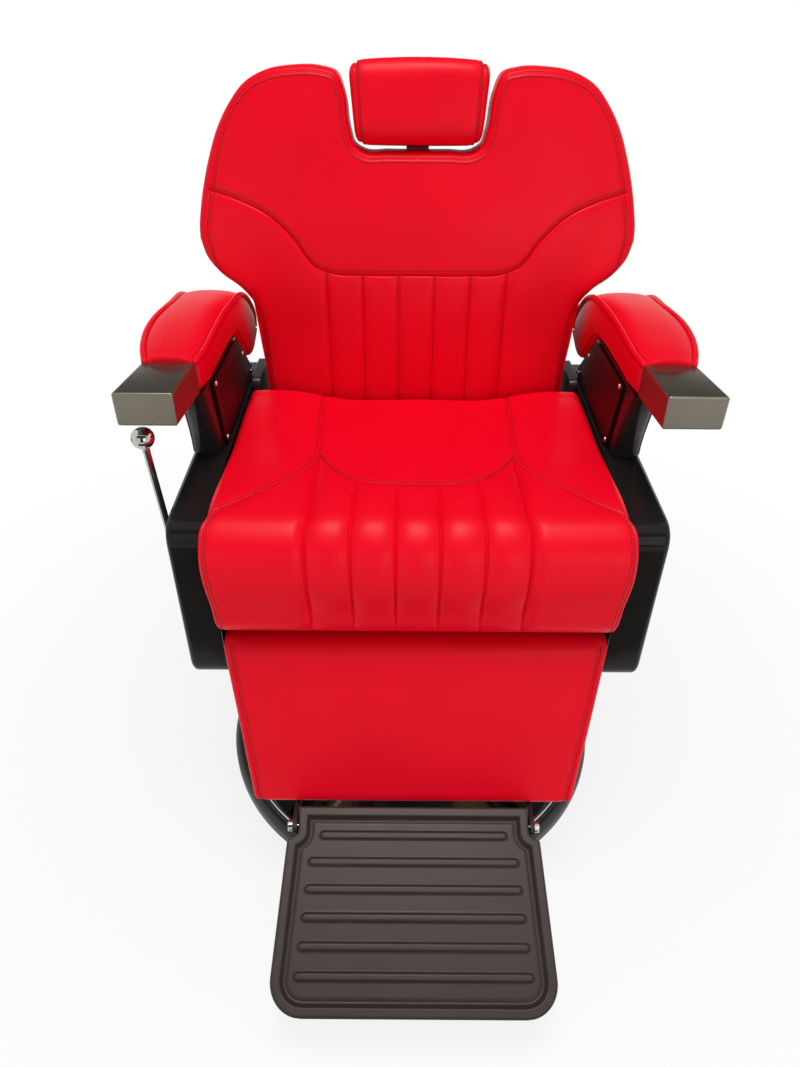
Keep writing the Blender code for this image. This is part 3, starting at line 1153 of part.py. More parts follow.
def build_leg_rest():
    """Leg rest: brackets on the shaft, board, pad, and the arms and bolts that carry the footplate."""
    pad_rear = -LEG_PAD_REACH + LEG_PAD_THICK
    board_rear = pad_rear + CLEAR + LEG_BOARD_THICK
    arm_n = board_rear + CLEAR + BRACKET_HALF
    pad_top = -LEG_PAD_DROP
    pad_low = pad_top - LEG_PAD_HEIGHT
    pin = leg_axis.inside(leg_y + crank_y, rail_mid + crank_z)
    for side, sign in SIDES:
        low_x, high_x = sorted((sign * bracket_in, sign * bracket_out))
        bar = link_outline((arm_n, -BRACKET_HALF), (arm_n, -LEG_ARM_LENGTH), BRACKET_HALF)
        arm = outline_mesh(bar, low_x, high_x)
        bracket = add_piece(f"leg_bracket_{side}", arm, "black_steel", leg_axis, local=True)
        boss = rod_mesh((low_x, 0, 0), (high_x, 0, 0), LEG_BOSS_RADIUS)
        combine(bracket, "UNION", add_tool(f"leg_boss_{side}", boss, leg_axis, local=True))
        if side == "right":
            crank = outline_mesh(link_outline((0, 0), pin, BRACKET_HALF), low_x, high_x)
            stud = rod_mesh((low_x + WELD, *pin), (-tie_in + TIE_SPACE / 2, *pin), STUD_RADIUS)
            combine(bracket, "UNION", add_tool("leg_crank", crank, leg_axis, local=True),
                    add_tool("leg_stud", stud, leg_axis, local=True))
        hole = rod_mesh((low_x - BRACKET_THICK, 0, 0), (high_x + BRACKET_THICK, 0, 0), SHAFT_RADIUS + RUN)
        combine(bracket, "DIFFERENCE", add_tool(f"leg_pivot_hole_{side}", hole, leg_axis, local=True))

    def half_width(s):
        share = (s - pad_low) / LEG_PAD_HEIGHT
        return (LEG_PAD_BOTTOM_WIDTH + (LEG_PAD_TOP_WIDTH - LEG_PAD_BOTTOM_WIDTH) * share) / 2

    margin = LEG_BOARD_MARGIN
    board_top = pad_top - margin
    board_low = pad_low + margin
    corners = [(-half_width(board_low) + margin, board_low), (half_width(board_low) - margin, board_low),
               (half_width(board_top) - margin, board_top), (-half_width(board_top) + margin, board_top)]
    rings = [[(x, n, s) for x, s in corners] for n in (pad_rear + CLEAR, board_rear)]
    add_piece("leg_rest_board", loft_mesh(rings), "satin_black", leg_axis, local=True)

    rings = []
    for share in (0.0, 0.02, 0.07, 0.2, 0.5, 0.8, 0.93, 0.98, 1.0):
        s = pad_low + LEG_PAD_HEIGHT * share
        fall = edge_drop(min(share, 1 - share) * LEG_PAD_HEIGHT, LEG_PAD_ROUND)
        half_n = (LEG_PAD_THICK - fall) / 2
        bulge = LEG_PAD_CROWN * math.sin(math.pi * share)
        half_x = half_width(s) - fall * 0.4
        ring = []
        for x, n in rounded_rectangle(half_x, half_n, min(LEG_PAD_ROUND, half_n) * 0.7):
            puff = bulge * (1 - (x / half_x) ** 2) if n < 0 else 0.0
            ring.append((x, pad_rear - half_n + n - puff, s))
        rings.append(ring)
    add_piece("leg_rest_pad", loft_mesh(rings), "red_leather", leg_axis, local=True)

    pivot = (-FOOT_PIVOT_REACH, -FOOT_PIVOT_DROP)
    elbow = (arm_n, -FOOT_PIVOT_DROP)
    arm_in = FOOT_TONGUE_WIDTH / 2 + FOOT_ARM_GAP
    arm_out = arm_in + FOOT_ARM_THICK
    for side, sign in SIDES:
        low_x, high_x = sorted((sign * arm_in, sign * arm_out))
        upright = outline_mesh(link_outline((arm_n, -LEG_ARM_LENGTH), elbow, BRACKET_HALF), low_x, high_x)
        arm = add_piece(f"footplate_arm_{side}", upright, "black_steel", leg_axis, local=True)
        foot = outline_mesh(link_outline(elbow, pivot, BRACKET_HALF), low_x, high_x)
        combine(arm, "UNION", add_tool(f"footplate_arm_foot_{side}", foot, leg_axis, local=True))
        hole = rod_mesh((sign * (arm_in - FOOT_ARM_THICK), *pivot),
                        (sign * (arm_out + FOOT_ARM_THICK), *pivot), FOOT_BOLT_RADIUS + CLEAR)
        combine(arm, "DIFFERENCE", add_tool(f"footplate_arm_hole_{side}", hole, leg_axis, local=True))
        head_in = sign * (arm_out + CLEAR)
        head_out = sign * (arm_out + CLEAR + FOOT_BOLT_HEAD_HEIGHT)
        head = rod_mesh((head_in, *pivot), (head_out, *pivot), FOOT_BOLT_HEAD_RADIUS)
        bolt = add_piece(f"footplate_bolt_{side}", head, "chrome", leg_axis, local=True)
        tip = sign * (FOOT_TONGUE_WIDTH / 2 - FOOT_BOLT_BITE + FOOT_ARM_GAP)
        shank = rod_mesh((head_in + sign * WELD, *pivot), (tip, *pivot), FOOT_BOLT_RADIUS)
        combine(bolt, "UNION", add_tool(f"footplate_bolt_shank_{side}", shank, leg_axis, local=True))


def foot_outline(inset):
    """The footplate's outline in its own plane: tongue, notch, widening sides and round front corners."""
    tongue = FOOT_TONGUE_WIDTH / 2 - inset
    rear = FOOT_REAR_WIDTH / 2 - inset
    front = FOOT_FRONT_WIDTH / 2 - inset
    toe = -FOOT_LENGTH + inset
    radius = FOOT_CORNER - inset
    right = [(tongue, FOOT_TONGUE_BACK - inset), (tongue, FOOT_NOTCH_Y - inset),
             (rear, FOOT_NOTCH_Y - FOOT_NOTCH_RUN - inset)]
    corner = arc((front - radius, toe + radius), radius, 0, -90, 6)
    half = right + corner
    return half + [(-x, y) for x, y in half[::-1]]


def build_footplate():
    """Cast footplate: a rimmed tray with cross ribs, hollow underneath, with a hole for each bolt."""
    low = FOOT_TOP - FOOT_THICK
    floor_top = FOOT_TOP - FOOT_RECESS
    floor_low = floor_top - FOOT_FLOOR
    plate = add_piece("footplate", outline_mesh(foot_outline(0.0), low, FOOT_TOP, "XY"), "bronze_casting",
                      foot_axis, local=True)
    tray = outline_mesh(foot_outline(FOOT_RIM), floor_top, FOOT_TOP + FOOT_RECESS, "XY")
    under = outline_mesh(foot_outline(FOOT_RIM), low - FOOT_RECESS, floor_low, "XY")
    combine(plate, "DIFFERENCE", add_tool("foot_tray", tray, foot_axis, local=True),
            add_tool("foot_under", under, foot_axis, local=True))
    for k in range(FOOT_RIB_COUNT):
        y = FOOT_RIB_FIRST_Y - k * FOOT_RIB_PITCH
        half = (FOOT_RIB_FIRST_LENGTH if k == 0 else FOOT_RIB_LENGTH) / 2 - FOOT_RIB_WIDTH / 2
        rib = outline_mesh(link_outline((-half, y), (half, y), FOOT_RIB_WIDTH / 2, 5), floor_top - WELD,
                           floor_top + FOOT_RIB_HEIGHT, "XY")
        combine(plate, "UNION", add_tool(f"foot_rib_{k + 1}", rib, foot_axis, local=True))
    outside = FOOT_TONGUE_WIDTH / 2 + FOOT_ARM_GAP
    inside = FOOT_TONGUE_WIDTH / 2 - FOOT_BOLT_BITE
    bars = [((sign * inside, 0, 0), (sign * outside, 0, 0)) for _, sign in SIDES]
    combine(plate, "DIFFERENCE", add_tool("foot_bolt_holes", rods_mesh(bars, FOOT_BOLT_RADIUS + RUN),
                                          foot_axis, local=True))


for old in list(bpy.data.objects):
    bpy.data.objects.remove(old)
chair = new_collection("barber_chair")
cutters = new_collection("cutters")

base_axis = Axis("base_axis", (0, 0, 0))
ram_axis = Axis("lift_axis", (0, 0, pump_top))
swivel_axis = Axis("swivel_axis", (0, 0, hub_foot))
pedal_axis = Axis("pedal_axis", (0, PUMP_RADIUS + PEDAL_PIVOT_REACH, PEDAL_PIVOT_HEIGHT), -PEDAL_SLOPE)
back_axis = Axis("recline_axis", (0, back_y, rail_mid))
lean_axis = Axis("lean_axis", (0, back_front, back_bend), -BACK_LEAN)
headrest_axis = Axis("headrest_axis", (0, back_front, back_bend), -BACK_LEAN)
leg_axis = Axis("leg_rest_axis", (0, leg_y, rail_mid), -LEG_TILT)
foot_place = leg_axis.matrix @ Vector((0, -FOOT_PIVOT_REACH, -FOOT_PIVOT_DROP))
foot_axis = Axis("footplate_axis", foot_place, FOOT_SLOPE)
lever_axis = Axis("lever_axis", (0, lever_y, rail_mid), LEVER_TILT)
tie_axis = Axis("tie_rod_axis", (0, back_y + crank_y, rail_mid + crank_z))
lock_axis = Axis("lock_rod_axis", (LOCK_X, back_y + crank_y, rail_mid + crank_z))

build_base()
build_pedal()
build_ram()
build_seat_frame()
build_seat()
build_covers()
build_arms()
build_lever()
build_linkage()
build_back()
build_headrest()
build_leg_rest()
build_footplate()
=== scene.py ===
"""Looks of a barber chair: upholstery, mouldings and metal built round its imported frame.

Metres, +Z up, the sitter faces -Y. Every surface is a grid of points worked out with numpy.
"""

import json
import math

import bpy
import numpy as np
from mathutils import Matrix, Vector


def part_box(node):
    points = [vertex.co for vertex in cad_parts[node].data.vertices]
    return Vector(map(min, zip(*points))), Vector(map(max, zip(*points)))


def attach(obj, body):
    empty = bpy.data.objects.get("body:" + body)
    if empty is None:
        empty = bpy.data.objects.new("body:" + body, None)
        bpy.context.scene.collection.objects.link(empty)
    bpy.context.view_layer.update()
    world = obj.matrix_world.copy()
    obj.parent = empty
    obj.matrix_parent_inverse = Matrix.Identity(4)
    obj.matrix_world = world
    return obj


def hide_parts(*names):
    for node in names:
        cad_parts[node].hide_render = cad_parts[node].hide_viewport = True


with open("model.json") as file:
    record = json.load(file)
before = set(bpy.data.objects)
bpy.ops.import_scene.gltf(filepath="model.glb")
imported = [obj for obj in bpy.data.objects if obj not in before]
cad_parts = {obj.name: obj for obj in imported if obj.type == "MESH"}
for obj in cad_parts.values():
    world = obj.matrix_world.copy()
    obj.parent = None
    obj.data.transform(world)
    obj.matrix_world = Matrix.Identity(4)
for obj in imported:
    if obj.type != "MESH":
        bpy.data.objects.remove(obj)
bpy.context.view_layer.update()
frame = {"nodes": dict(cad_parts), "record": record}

bl_info = {
    "name": "Barber chair looks",
    "version": (1, 0, 0),
    "blender": (4, 5, 0),
    "location": "View3D > Sidebar > Chair",
    "description": "Builds the upholstery, mouldings and metal of a barber chair round its frame",
    "category": "Object",
}

SIDES = (("left", 1.0), ("right", -1.0))
# The back's front face: how far back it stands, the height of its bend, its lean above that, half its width.
BACK_FRONT = 0.1735
BACK_BEND = 0.860
LEAN = math.radians(12.0)
WING = 0.3425
# The leg rest's and the footplate's own axes: (y, z) of the pivot, and the angle.
LEG_PIVOT = (-0.200, 0.479)
LEG_TILT = math.radians(-14.0)
FOOT_PIVOT = (-0.366979, 0.199493)
FOOT_SLOPE = math.radians(25.0)
# The footplate's front and rear edge in its own plane, and the radius of its front corners.
FOOT_FRONT = -0.254
FOOT_REAR = 0.028
FOOT_CORNER = 0.050
# How far a row of stitches lies beside its seam.
STITCH_GAP = 0.0042


class ChairSizes(bpy.types.PropertyGroup):
    """Sizes of the chair's upholstery and trim."""

    channel_pitch: bpy.props.FloatProperty(
        name="Channel pitch", description="Distance between the sewn channels' seams",
        default=0.0575, unit="LENGTH")
    channel_depth: bpy.props.FloatProperty(
        name="Channel depth", description="How far a channel's seam lies below its crest",
        default=0.0062, unit="LENGTH")
    seam_depth: bpy.props.FloatProperty(
        name="Seam depth", description="Depth of a seam's crease",
        default=0.0022, unit="LENGTH")
    seam_width: bpy.props.FloatProperty(
        name="Seam width", description="Half width of a seam's crease",
        default=0.0016, unit="LENGTH")
    back_roll: bpy.props.FloatProperty(
        name="Back edge roll", description="How far the back's rounded edge falls",
        default=0.0130, unit="LENGTH")
    back_welt: bpy.props.FloatProperty(
        name="Back welt", description="Distance of the back's edge seam from its outline",
        default=0.0062, unit="LENGTH")
    # Radius of the dark cord laid in each seam as painted shade.
    seam_shade_radius: bpy.props.FloatProperty(
        name="Seam fold", description="Radius of the dark fold in a seam",
        default=0.0006, unit="LENGTH")
    piping_radius: bpy.props.FloatProperty(
        name="Piping radius", description="Radius of the piping on the arm pads",
        default=0.0040, unit="LENGTH")
    stitch_pitch: bpy.props.FloatProperty(
        name="Stitch pitch", description="Distance between stitches",
        default=0.0046, unit="LENGTH")
    stitch_length: bpy.props.FloatProperty(
        name="Stitch length", description="Length of one stitch",
        default=0.0034, unit="LENGTH")
    thread_radius: bpy.props.FloatProperty(
        name="Thread radius", description="Radius of the sewing thread",
        default=0.0006, unit="LENGTH")
    rib_height: bpy.props.FloatProperty(
        name="Footplate rib height", description="Height of the footplate's cross ribs",
        default=0.0042, unit="LENGTH")


class ChairColours(bpy.types.PropertyGroup):
    """Colours of the chair's finishes."""

    leather: bpy.props.FloatVectorProperty(
        name="Leatherette", description="Colour of the upholstery",
        subtype="COLOR", default=(0.86, 0.0012, 0.015))
    thread: bpy.props.FloatVectorProperty(
        name="Thread", description="Colour of the stitches",
        subtype="COLOR", default=(0.13, 0.0010, 0.003))
    gloss_black: bpy.props.FloatVectorProperty(
        name="Gloss black", description="Colour of the mouldings",
        subtype="COLOR", default=(0.0130, 0.0112, 0.0112))
    nickel: bpy.props.FloatVectorProperty(
        name="Brushed nickel", description="Colour of the arm caps",
        subtype="COLOR", default=(0.262, 0.238, 0.190))
    chrome: bpy.props.FloatVectorProperty(
        name="Chrome", description="Colour of the polished metal",
        subtype="COLOR", default=(0.52, 0.51, 0.50))
    bronze: bpy.props.FloatVectorProperty(
        name="Footplate", description="Colour of the footplate's coating",
        subtype="COLOR", default=(0.042, 0.031, 0.026))
    steel: bpy.props.FloatVectorProperty(
        name="Black steel", description="Colour of the painted steel",
        subtype="COLOR", default=(0.016, 0.016, 0.017))


def sizes():
    """The chair's size settings."""
    return bpy.context.scene.chair_sizes


def colours():
    """The chair's colour settings."""
    return bpy.context.scene.chair_colours


class Wire:
    """A socket in a material's nodes. Arithmetic on wires adds Math nodes; node adds any other node."""

    def __init__(self, tree, socket=None):
        self.tree = tree
        self.socket = socket

    def node(self, kind, settings, inputs, output=0):
        """Adds a node of a kind, sets its settings, then its sockets to values or links."""
        made = self.tree.nodes.new(kind)
        for key, value in settings.items():
            if key == "stops":
                for stop, (place, colour) in zip(made.color_ramp.elements, value):
                    stop.position = place
                    stop.color = (*colour, 1.0)
            else:
                setattr(made, key, value)
        for key, value in inputs.items():
            if isinstance(value, Wire):
                self.tree.links.new(value.socket, made.inputs[key])
            else:
                made.inputs[key].default_value = value
        return Wire(self.tree, made.outputs[output])

    def math(self, operation, first, second):
        """A Math node of two values."""
        return self.node("ShaderNodeMath", {"operation": operation}, {0: first, 1: second})

    def __add__(self, other):
        return self.math("ADD", self, other)

    def __radd__(self, other):
        return self.math("ADD", other, self)

    def __sub__(self, other):
        return self.math("SUBTRACT", self, other)

    def __rsub__(self, other):
        return self.math("SUBTRACT", other, self)

    def __mul__(self, other):
        return self.math("MULTIPLY", self, other)

    def __rmul__(self, other):
        return self.math("MULTIPLY", other, self)


def new_material(name, settings, build):
    """A Principled material: settings go on its sockets, and build links what varies over the surface."""
    material = bpy.data.materials.new(name)
    material.use_nodes = True
    shader = material.node_tree.nodes["Principled BSDF"]
    for key, value in settings.items():
        shader.inputs[key].default_value = value
    start = Wire(material.node_tree)
    place = start.node("ShaderNodeTexCoord", {}, {}, "Object")
    for key, wire in build(start, place).items():
        material.node_tree.links.new(wire.socket, shader.inputs[key])
    return material


def noise(start, place, scale, detail=3.0, roughness=0.5):
    """A noise value of about 0 to 1."""
    return start.node("ShaderNodeTexNoise", {}, {"Vector": place, "Scale": scale, "Detail": detail,
                                                 "Roughness": roughness})


def stretched(start, place, scale):
    """The place with each axis scaled, to draw a pattern out along the axis that is scaled least."""
    return start.node("ShaderNodeMapping", {}, {"Vector": place, "Scale": scale})


def tint(start, factor, first, second):
    """A colour between two colours."""
    return start.node("ShaderNodeMix", {"data_type": "RGBA"},
                      {"Factor": factor, 6: (*first, 1.0), 7: (*second, 1.0)}, 2)


def bump(start, height, strength, distance):
    """A normal bent by a height."""
    return start.node("ShaderNodeBump", {}, {"Height": height, "Strength": strength, "Distance": distance})


def shade(colour, factor):
    """A colour times a factor."""
    return tuple(float(c) * factor for c in colour)


finishes = {}


def finish(name):
    """One of the chair's materials, made when it is first asked for."""
    if name not in finishes:
        finishes[name] = FINISH_MAKERS[name]()
    return finishes[name]


def red_leatherette():
    """Leatherette: pebbled grain of small cells, broad clouds of tone and a soft uneven gloss."""
    colour = colours().leather

    def build(start, place):
        clouds = noise(start, place, 9.0, 2.0)
        fine = noise(start, place, 1500.0, 2.0)
        cells = start.node("ShaderNodeTexVoronoi", {"feature": "SMOOTH_F1"},
                           {"Vector": place, "Scale": 620.0})
        grain = cells * 0.7 + fine * 0.3
        tone = clouds * 0.7 + grain * 0.3
        return {"Base Color": tint(start, tone, shade(colour, 0.93), shade(colour, 1.07)),
                "Roughness": 0.32 + clouds * 0.08 + grain * 0.06,
                "Normal": bump(start, grain, 0.20, 0.00022)}

    return new_material("red_leatherette", {"Specular IOR Level": 0.13}, build)


def red_thread():
    """Twisted thread: a fine mottle of tone and height."""
    colour = colours().thread

    def build(start, place):
        twist = noise(start, place, 2600.0, 1.0)
        return {"Base Color": tint(start, twist, shade(colour, 0.75), shade(colour, 1.2)),
                "Normal": bump(start, twist, 0.3, 0.0002)}

    return new_material("red_thread", {"Roughness": 0.55}, build)


def seam_painted_shade():
    """The painted shade in a seam's crevice: the leatherette's colour, much darker and dull."""
    colour = colours().leather

    def build(start, place):
        tuck = noise(start, place, 700.0, 2.0)
        # The dark colour is painted shade of the seam's crevice, mottled at random.
        return {"Base Color": tint(start, tuck, shade(colour, 0.22), shade(colour, 0.42)),
                "Roughness": 0.6 + tuck * 0.2}

    return new_material("seam_painted_shade", {"Specular IOR Level": 0.2}, build)


def gloss_black():
    """Moulded gloss black: faint smears in the gloss and a trace of orange peel."""
    colour = colours().gloss_black

    def build(start, place):
        smear = noise(start, stretched(start, place, (1.0, 0.4, 1.0)), 14.0, 4.0)
        peel = noise(start, place, 240.0, 1.0)
        return {"Base Color": tint(start, smear, shade(colour, 0.8), shade(colour, 1.5)),
                "Roughness": 0.07 + smear * 0.10,
                "Normal": bump(start, peel, 0.03, 0.0006)}

    return new_material("gloss_black", {"Specular IOR Level": 0.12}, build)


def maroon_black():
    """Black moulding with a dark maroon tint that is painted reflection of the red upholstery: a fine even
    texture under a soft gloss.
    """
    def build(start, place):
        fleck = noise(start, place, 800.0, 2.0)
        worn = noise(start, place, 15.0, 3.0)
        # The maroon in the base colour is painted reflection of the red seat and arm pads; the noise varies
        # it at random.
        return {"Base Color": tint(start, worn, (0.017, 0.0030, 0.0040), (0.027, 0.0045, 0.0060)),
                "Roughness": 0.30 + worn * 0.12,
                "Normal": bump(start, fleck, 0.08, 0.0002)}

    return new_material("maroon_black", {"Specular IOR Level": 0.15}, build)


def satin_black():
    """Satin black moulding: a fine even texture."""
    def build(start, place):
        fleck = noise(start, place, 900.0, 2.0)
        worn = noise(start, place, 12.0, 3.0)
        return {"Base Color": tint(start, worn, (0.012, 0.0115, 0.0115), (0.024, 0.022, 0.022)),
                "Roughness": 0.36 + worn * 0.14,
                "Normal": bump(start, fleck, 0.12, 0.0002)}

    return new_material("satin_black", {}, build)


def black_steel():
    """Painted steel: orange peel and dull patches."""
    colour = colours().steel

    def build(start, place):
        peel = noise(start, place, 420.0, 2.0)
        dull = noise(start, place, 16.0, 4.0)
        return {"Base Color": tint(start, dull, shade(colour, 0.8), shade(colour, 1.5)),
                "Roughness": 0.28 + dull * 0.22,
                "Normal": bump(start, peel, 0.10, 0.0004)}

    return new_material("black_steel", {"Metallic": 0.2}, build)


def chrome():
    """Polished chrome with faint clouds in its polish."""
    colour = colours().chrome

    def build(start, place):
        cloud = noise(start, place, 24.0, 3.0)
        return {"Base Color": tint(start, cloud, shade(colour, 0.93), colour[:]),
                "Roughness": 0.035 + cloud * 0.05}

    return new_material("chrome", {"Metallic": 1.0}, build)


def brushed_nickel():
    """Brushed metal: fine scratches drawn out along X over slow clouds of tone."""
    colour = colours().nickel

    def build(start, place):
        brush = noise(start, stretched(start, place, (6.0, 420.0, 420.0)), 1.6, 3.0)
        cloud = noise(start, place, 26.0, 2.0)
        tone = brush * 0.6 + cloud * 0.4
        return {"Base Color": tint(start, tone, shade(colour, 0.84), shade(colour, 1.16)),
                "Roughness": 0.27 + brush * 0.16,
                "Normal": bump(start, brush, 0.10, 0.0003)}

    return new_material("brushed_nickel", {"Metallic": 1.0}, build)


def bronze_coating():
    """Dark bronze coating: fine speckle with duller and rubbed patches."""
    colour = colours().bronze

    def build(start, place):
        speck = noise(start, place, 1100.0, 2.0)
        rubbed = noise(start, place, 11.0, 4.0)
        tone = speck * 0.35 + rubbed * 0.65
        return {"Base Color": tint(start, tone, shade(colour, 0.75), shade(colour, 1.3)),
                "Roughness": 0.36 + rubbed * 0.16,
                "Normal": bump(start, speck, 0.16, 0.0002)}

    return new_material("bronze_coating", {"Metallic": 0.2, "Specular IOR Level": 0.3}, build)


def bright_steel():
    """Turned steel: fine streaks across X and a grey sheen."""
    def build(start, place):
        turned = noise(start, stretched(start, place, (300.0, 8.0, 8.0)), 2.0, 2.0)
        return {"Base Color": tint(start, turned, (0.36, 0.37, 0.39), (0.50, 0.51, 0.53)),
                "Roughness": 0.26 + turned * 0.18}

    return new_material("bright_steel", {"Metallic": 1.0}, build)


def plywood():
    """Plywood: long grain along X with darker streaks."""
    def build(start, place):
        grain = noise(start, stretched(start, place, (3.0, 60.0, 60.0)), 3.0, 4.0)
        return {"Base Color": tint(start, grain, (0.26, 0.15, 0.07), (0.46, 0.31, 0.17)),
                "Roughness": 0.55 + grain * 0.2,
                "Normal": bump(start, grain, 0.15, 0.0005)}

    return new_material("plywood", {}, build)


def black_rubber():
    """Matt rubber with a fine moulded texture."""
    def build(start, place):
        fleck = noise(start, place, 700.0, 3.0)
        return {"Base Color": tint(start, fleck, (0.010, 0.010, 0.010), (0.022, 0.022, 0.022)),
                "Roughness": 0.65 + fleck * 0.2,
                "Normal": bump(start, fleck, 0.3, 0.0003)}

    return new_material("black_rubber", {}, build)


FINISH_MAKERS = {
    "red_leatherette": red_leatherette, "red_thread": red_thread, "seam_painted_shade": seam_painted_shade,
    "gloss_black": gloss_black, "maroon_black": maroon_black, "satin_black": satin_black,
    "black_steel": black_steel, "chrome": chrome, "brushed_nickel": brushed_nickel,
    "bronze_coating": bronze_coating, "bright_steel": bright_steel, "plywood": plywood,
    "black_rubber": black_rubber,
}
SLOT_FINISH = {
    "red_leather": "red_leatherette", "gloss_black": "gloss_black", "dark_panel": "maroon_black",
    "brushed_nickel": "brushed_nickel", "chrome": "chrome", "satin_black": "satin_black",
    "black_steel": "black_steel", "steel": "bright_steel", "plywood": "plywood", "rubber": "black_rubber",
    "cast_footplate": "bronze_coating",
}


def corners_of(node):
    """The low and the high corner of a node's box."""
    return np.array(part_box(node))


def near_and_far(node, sign):
    """The x of a node's face towards the chair's middle, and of the one away from it."""
    low, high = corners_of(node)
    return (low[0], high[0]) if sign > 0 else (high[0], low[0])


def add_object(name, verts, faces, material, body, sharp=None):
    """A smooth-shaded object from points and a list of face index arrays, riding on a body."""
    mesh = bpy.data.meshes.new(name)
    verts = np.ascontiguousarray(verts, np.float64)
    volume = 0.0
    for block in faces:
        fan = [block[:, [0, k, k + 1]] for k in range(1, block.shape[1] - 1)]
        for tri in fan:
            a, b, c = verts[tri[:, 0]], verts[tri[:, 1]], verts[tri[:, 2]]
            volume += float(np.einsum("ij,ij->", a, np.cross(b, c)))
    if volume < 0:
        faces = [block[:, ::-1] for block in faces]
    loops = np.concatenate([block.ravel() for block in faces]).astype(np.int32)
    lengths = np.concatenate([np.full(len(block), block.shape[1]) for block in faces])
    starts = np.concatenate([[0], np.cumsum(lengths)[:-1]]).astype(np.int32)
    mesh.vertices.add(len(verts))
    mesh.vertices.foreach_set("co", verts.ravel())
    mesh.loops.add(len(loops))
    mesh.loops.foreach_set("vertex_index", loops)
    mesh.polygons.add(len(starts))
    mesh.polygons.foreach_set("loop_start", starts)
    mesh.update(calc_edges=True)
    mesh.validate()
    mesh.shade_smooth()
    if sharp:
        mesh.set_sharp_from_angle(angle=math.radians(sharp))
    mesh.materials.append(finish(material))
    piece = bpy.data.objects.new(name, mesh)
    bpy.context.scene.collection.objects.link(piece)
    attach(piece, body)
    return piece


def ring_faces(rows, count):
    """Quads between neighbouring rings of count points, each of which closes on itself."""
    i = np.arange(rows - 1)[:, None]
    j = np.arange(count)[None, :]
    k = (j + 1) % count
    corners = (i * count + j, i * count + k, (i + 1) * count + k, (i + 1) * count + j)
    return np.stack(np.broadcast_arrays(*corners), -1).reshape(-1, 4)


def loft(name, rings, material, body, sharp=None):
    """A closed body through rings: quads between them, and each end drawn in to a point at its middle."""
    rings = np.asarray(rings, float)
    count = rings.shape[1]
    shrink = np.array([0.85, 0.6, 0.3])[:, None, None]
    first, last = rings[0].mean(0), rings[-1].mean(0)
    head = first + (rings[0] - first) * shrink[::-1]
    tail = last + (rings[-1] - last) * shrink
    rows = np.concatenate([head, rings, tail])
    verts = np.concatenate([rows.reshape(-1, 3), [first, last]])
    quads = ring_faces(len(rows), count)
    j = np.arange(count)
    k = (j + 1) % count
    end = (len(rows) - 1) * count
    top = np.stack([k, j, np.full(count, len(verts) - 2)], -1)
    low = np.stack([end + j, end + k, np.full(count, len(verts) - 1)], -1)
    return add_object(name, verts, [quads, top, low], material, body, sharp)


def slab(name, rings, material, body, sharp=None):
    """A closed body through rings whose two end rings are filled flat."""
    rings = np.asarray(rings, float)
    rows, count = rings.shape[:2]
    ends = np.stack([np.arange(count)[::-1], (rows - 1) * count + np.arange(count)])
    return add_object(name, rings.reshape(-1, 3), [ring_faces(rows, count), ends], material, body, sharp)


def turned(name, profile, material, body, place=None, steps=96, sharp=None):
    """A body turned about Z from (radius, height) points; place maps its points to the chair.

    A profile that starts on the axis ends there too; any other closes on itself.
    """
    profile = np.asarray(profile, float)
    rows = len(profile)
    angle = np.linspace(0, 2 * np.pi, steps, endpoint=False)
    points = np.stack([profile[:, :1] * np.cos(angle), profile[:, :1] * np.sin(angle),
                       np.repeat(profile[:, 1:], steps, 1)], -1)
    j = np.arange(steps)
    k = (j + 1) % steps
    if profile[0, 0] > 1e-6:
        verts = points.reshape(-1, 3)
        last = (rows - 1) * steps
        faces = [ring_faces(rows, steps), np.stack([last + j, last + k, k, j], -1)]
    else:
        verts = np.concatenate([points[1:-1].reshape(-1, 3), [points[0, 0], points[-1, 0]]])
        inner = (rows - 2) * steps
        top = np.stack([k, j, np.full(steps, inner)], -1)
        low = np.stack([inner - steps + j, inner - steps + k, np.full(steps, inner + 1)], -1)
        faces = [ring_faces(rows - 2, steps), top, low]
    if place is not None:
        verts = place(verts)
    return add_object(name, verts, faces, material, body, sharp)


def fillet(corners, radius, steps=5):
    """A profile with its inner corners rounded: each corner becomes a quadratic curve between two setbacks.

    The radius is one for all corners or one for each.
    """
    corners = np.asarray(corners, float)
    parts = [corners[:1]]
    t = np.linspace(0, 1, steps)[:, None]
    radii = np.broadcast_to(radius, len(corners) - 2)
    for before, corner, after, setback in zip(corners[:-2], corners[1:-1], corners[2:], radii):
        back = min(setback, np.linalg.norm(before - corner) * 0.45)
        ahead = min(setback, np.linalg.norm(after - corner) * 0.45)
        start = corner + (before - corner) / np.linalg.norm(before - corner) * back
        end = corner + (after - corner) / np.linalg.norm(after - corner) * ahead
        parts.append((1 - t) ** 2 * start + 2 * t * (1 - t) * corner + t ** 2 * end)
    parts.append(corners[-1:])
    return np.concatenate(parts)


def round_corners(corners, radius, steps=6):
    """A closed outline with every corner rounded by fillet."""
    corners = np.asarray(corners, float)
    middle = (corners[-1:] + corners[:1]) / 2
    path = fillet(np.concatenate([middle, corners, middle]), radius, steps)
    return path[:-1]


def through(keys, counts):
    """A smooth curve through key points: cubic Hermite pieces with chord-length tangents.

    counts gives the number of points in each piece.
    """
    keys = np.asarray(keys, float)
    gap = np.linalg.norm(np.diff(keys, axis=0), axis=1)
    slope = np.diff(keys, axis=0) / gap[:, None]
    tangent = np.concatenate([slope[:1], (slope[:-1] * gap[1:, None] + slope[1:] * gap[:-1, None])
                              / (gap[1:] + gap[:-1])[:, None], slope[-1:]])
    parts = []
    for i, count in enumerate(counts):
        t = np.linspace(0, 1, count, endpoint=i == len(counts) - 1)[:, None]
        parts.append((2 * t ** 3 - 3 * t ** 2 + 1) * keys[i] + (t ** 3 - 2 * t ** 2 + t) * gap[i] * tangent[i]
                     + (3 * t ** 2 - 2 * t ** 3) * keys[i + 1] + (t ** 3 - t ** 2) * gap[i] * tangent[i + 1])
    return np.concatenate(parts)


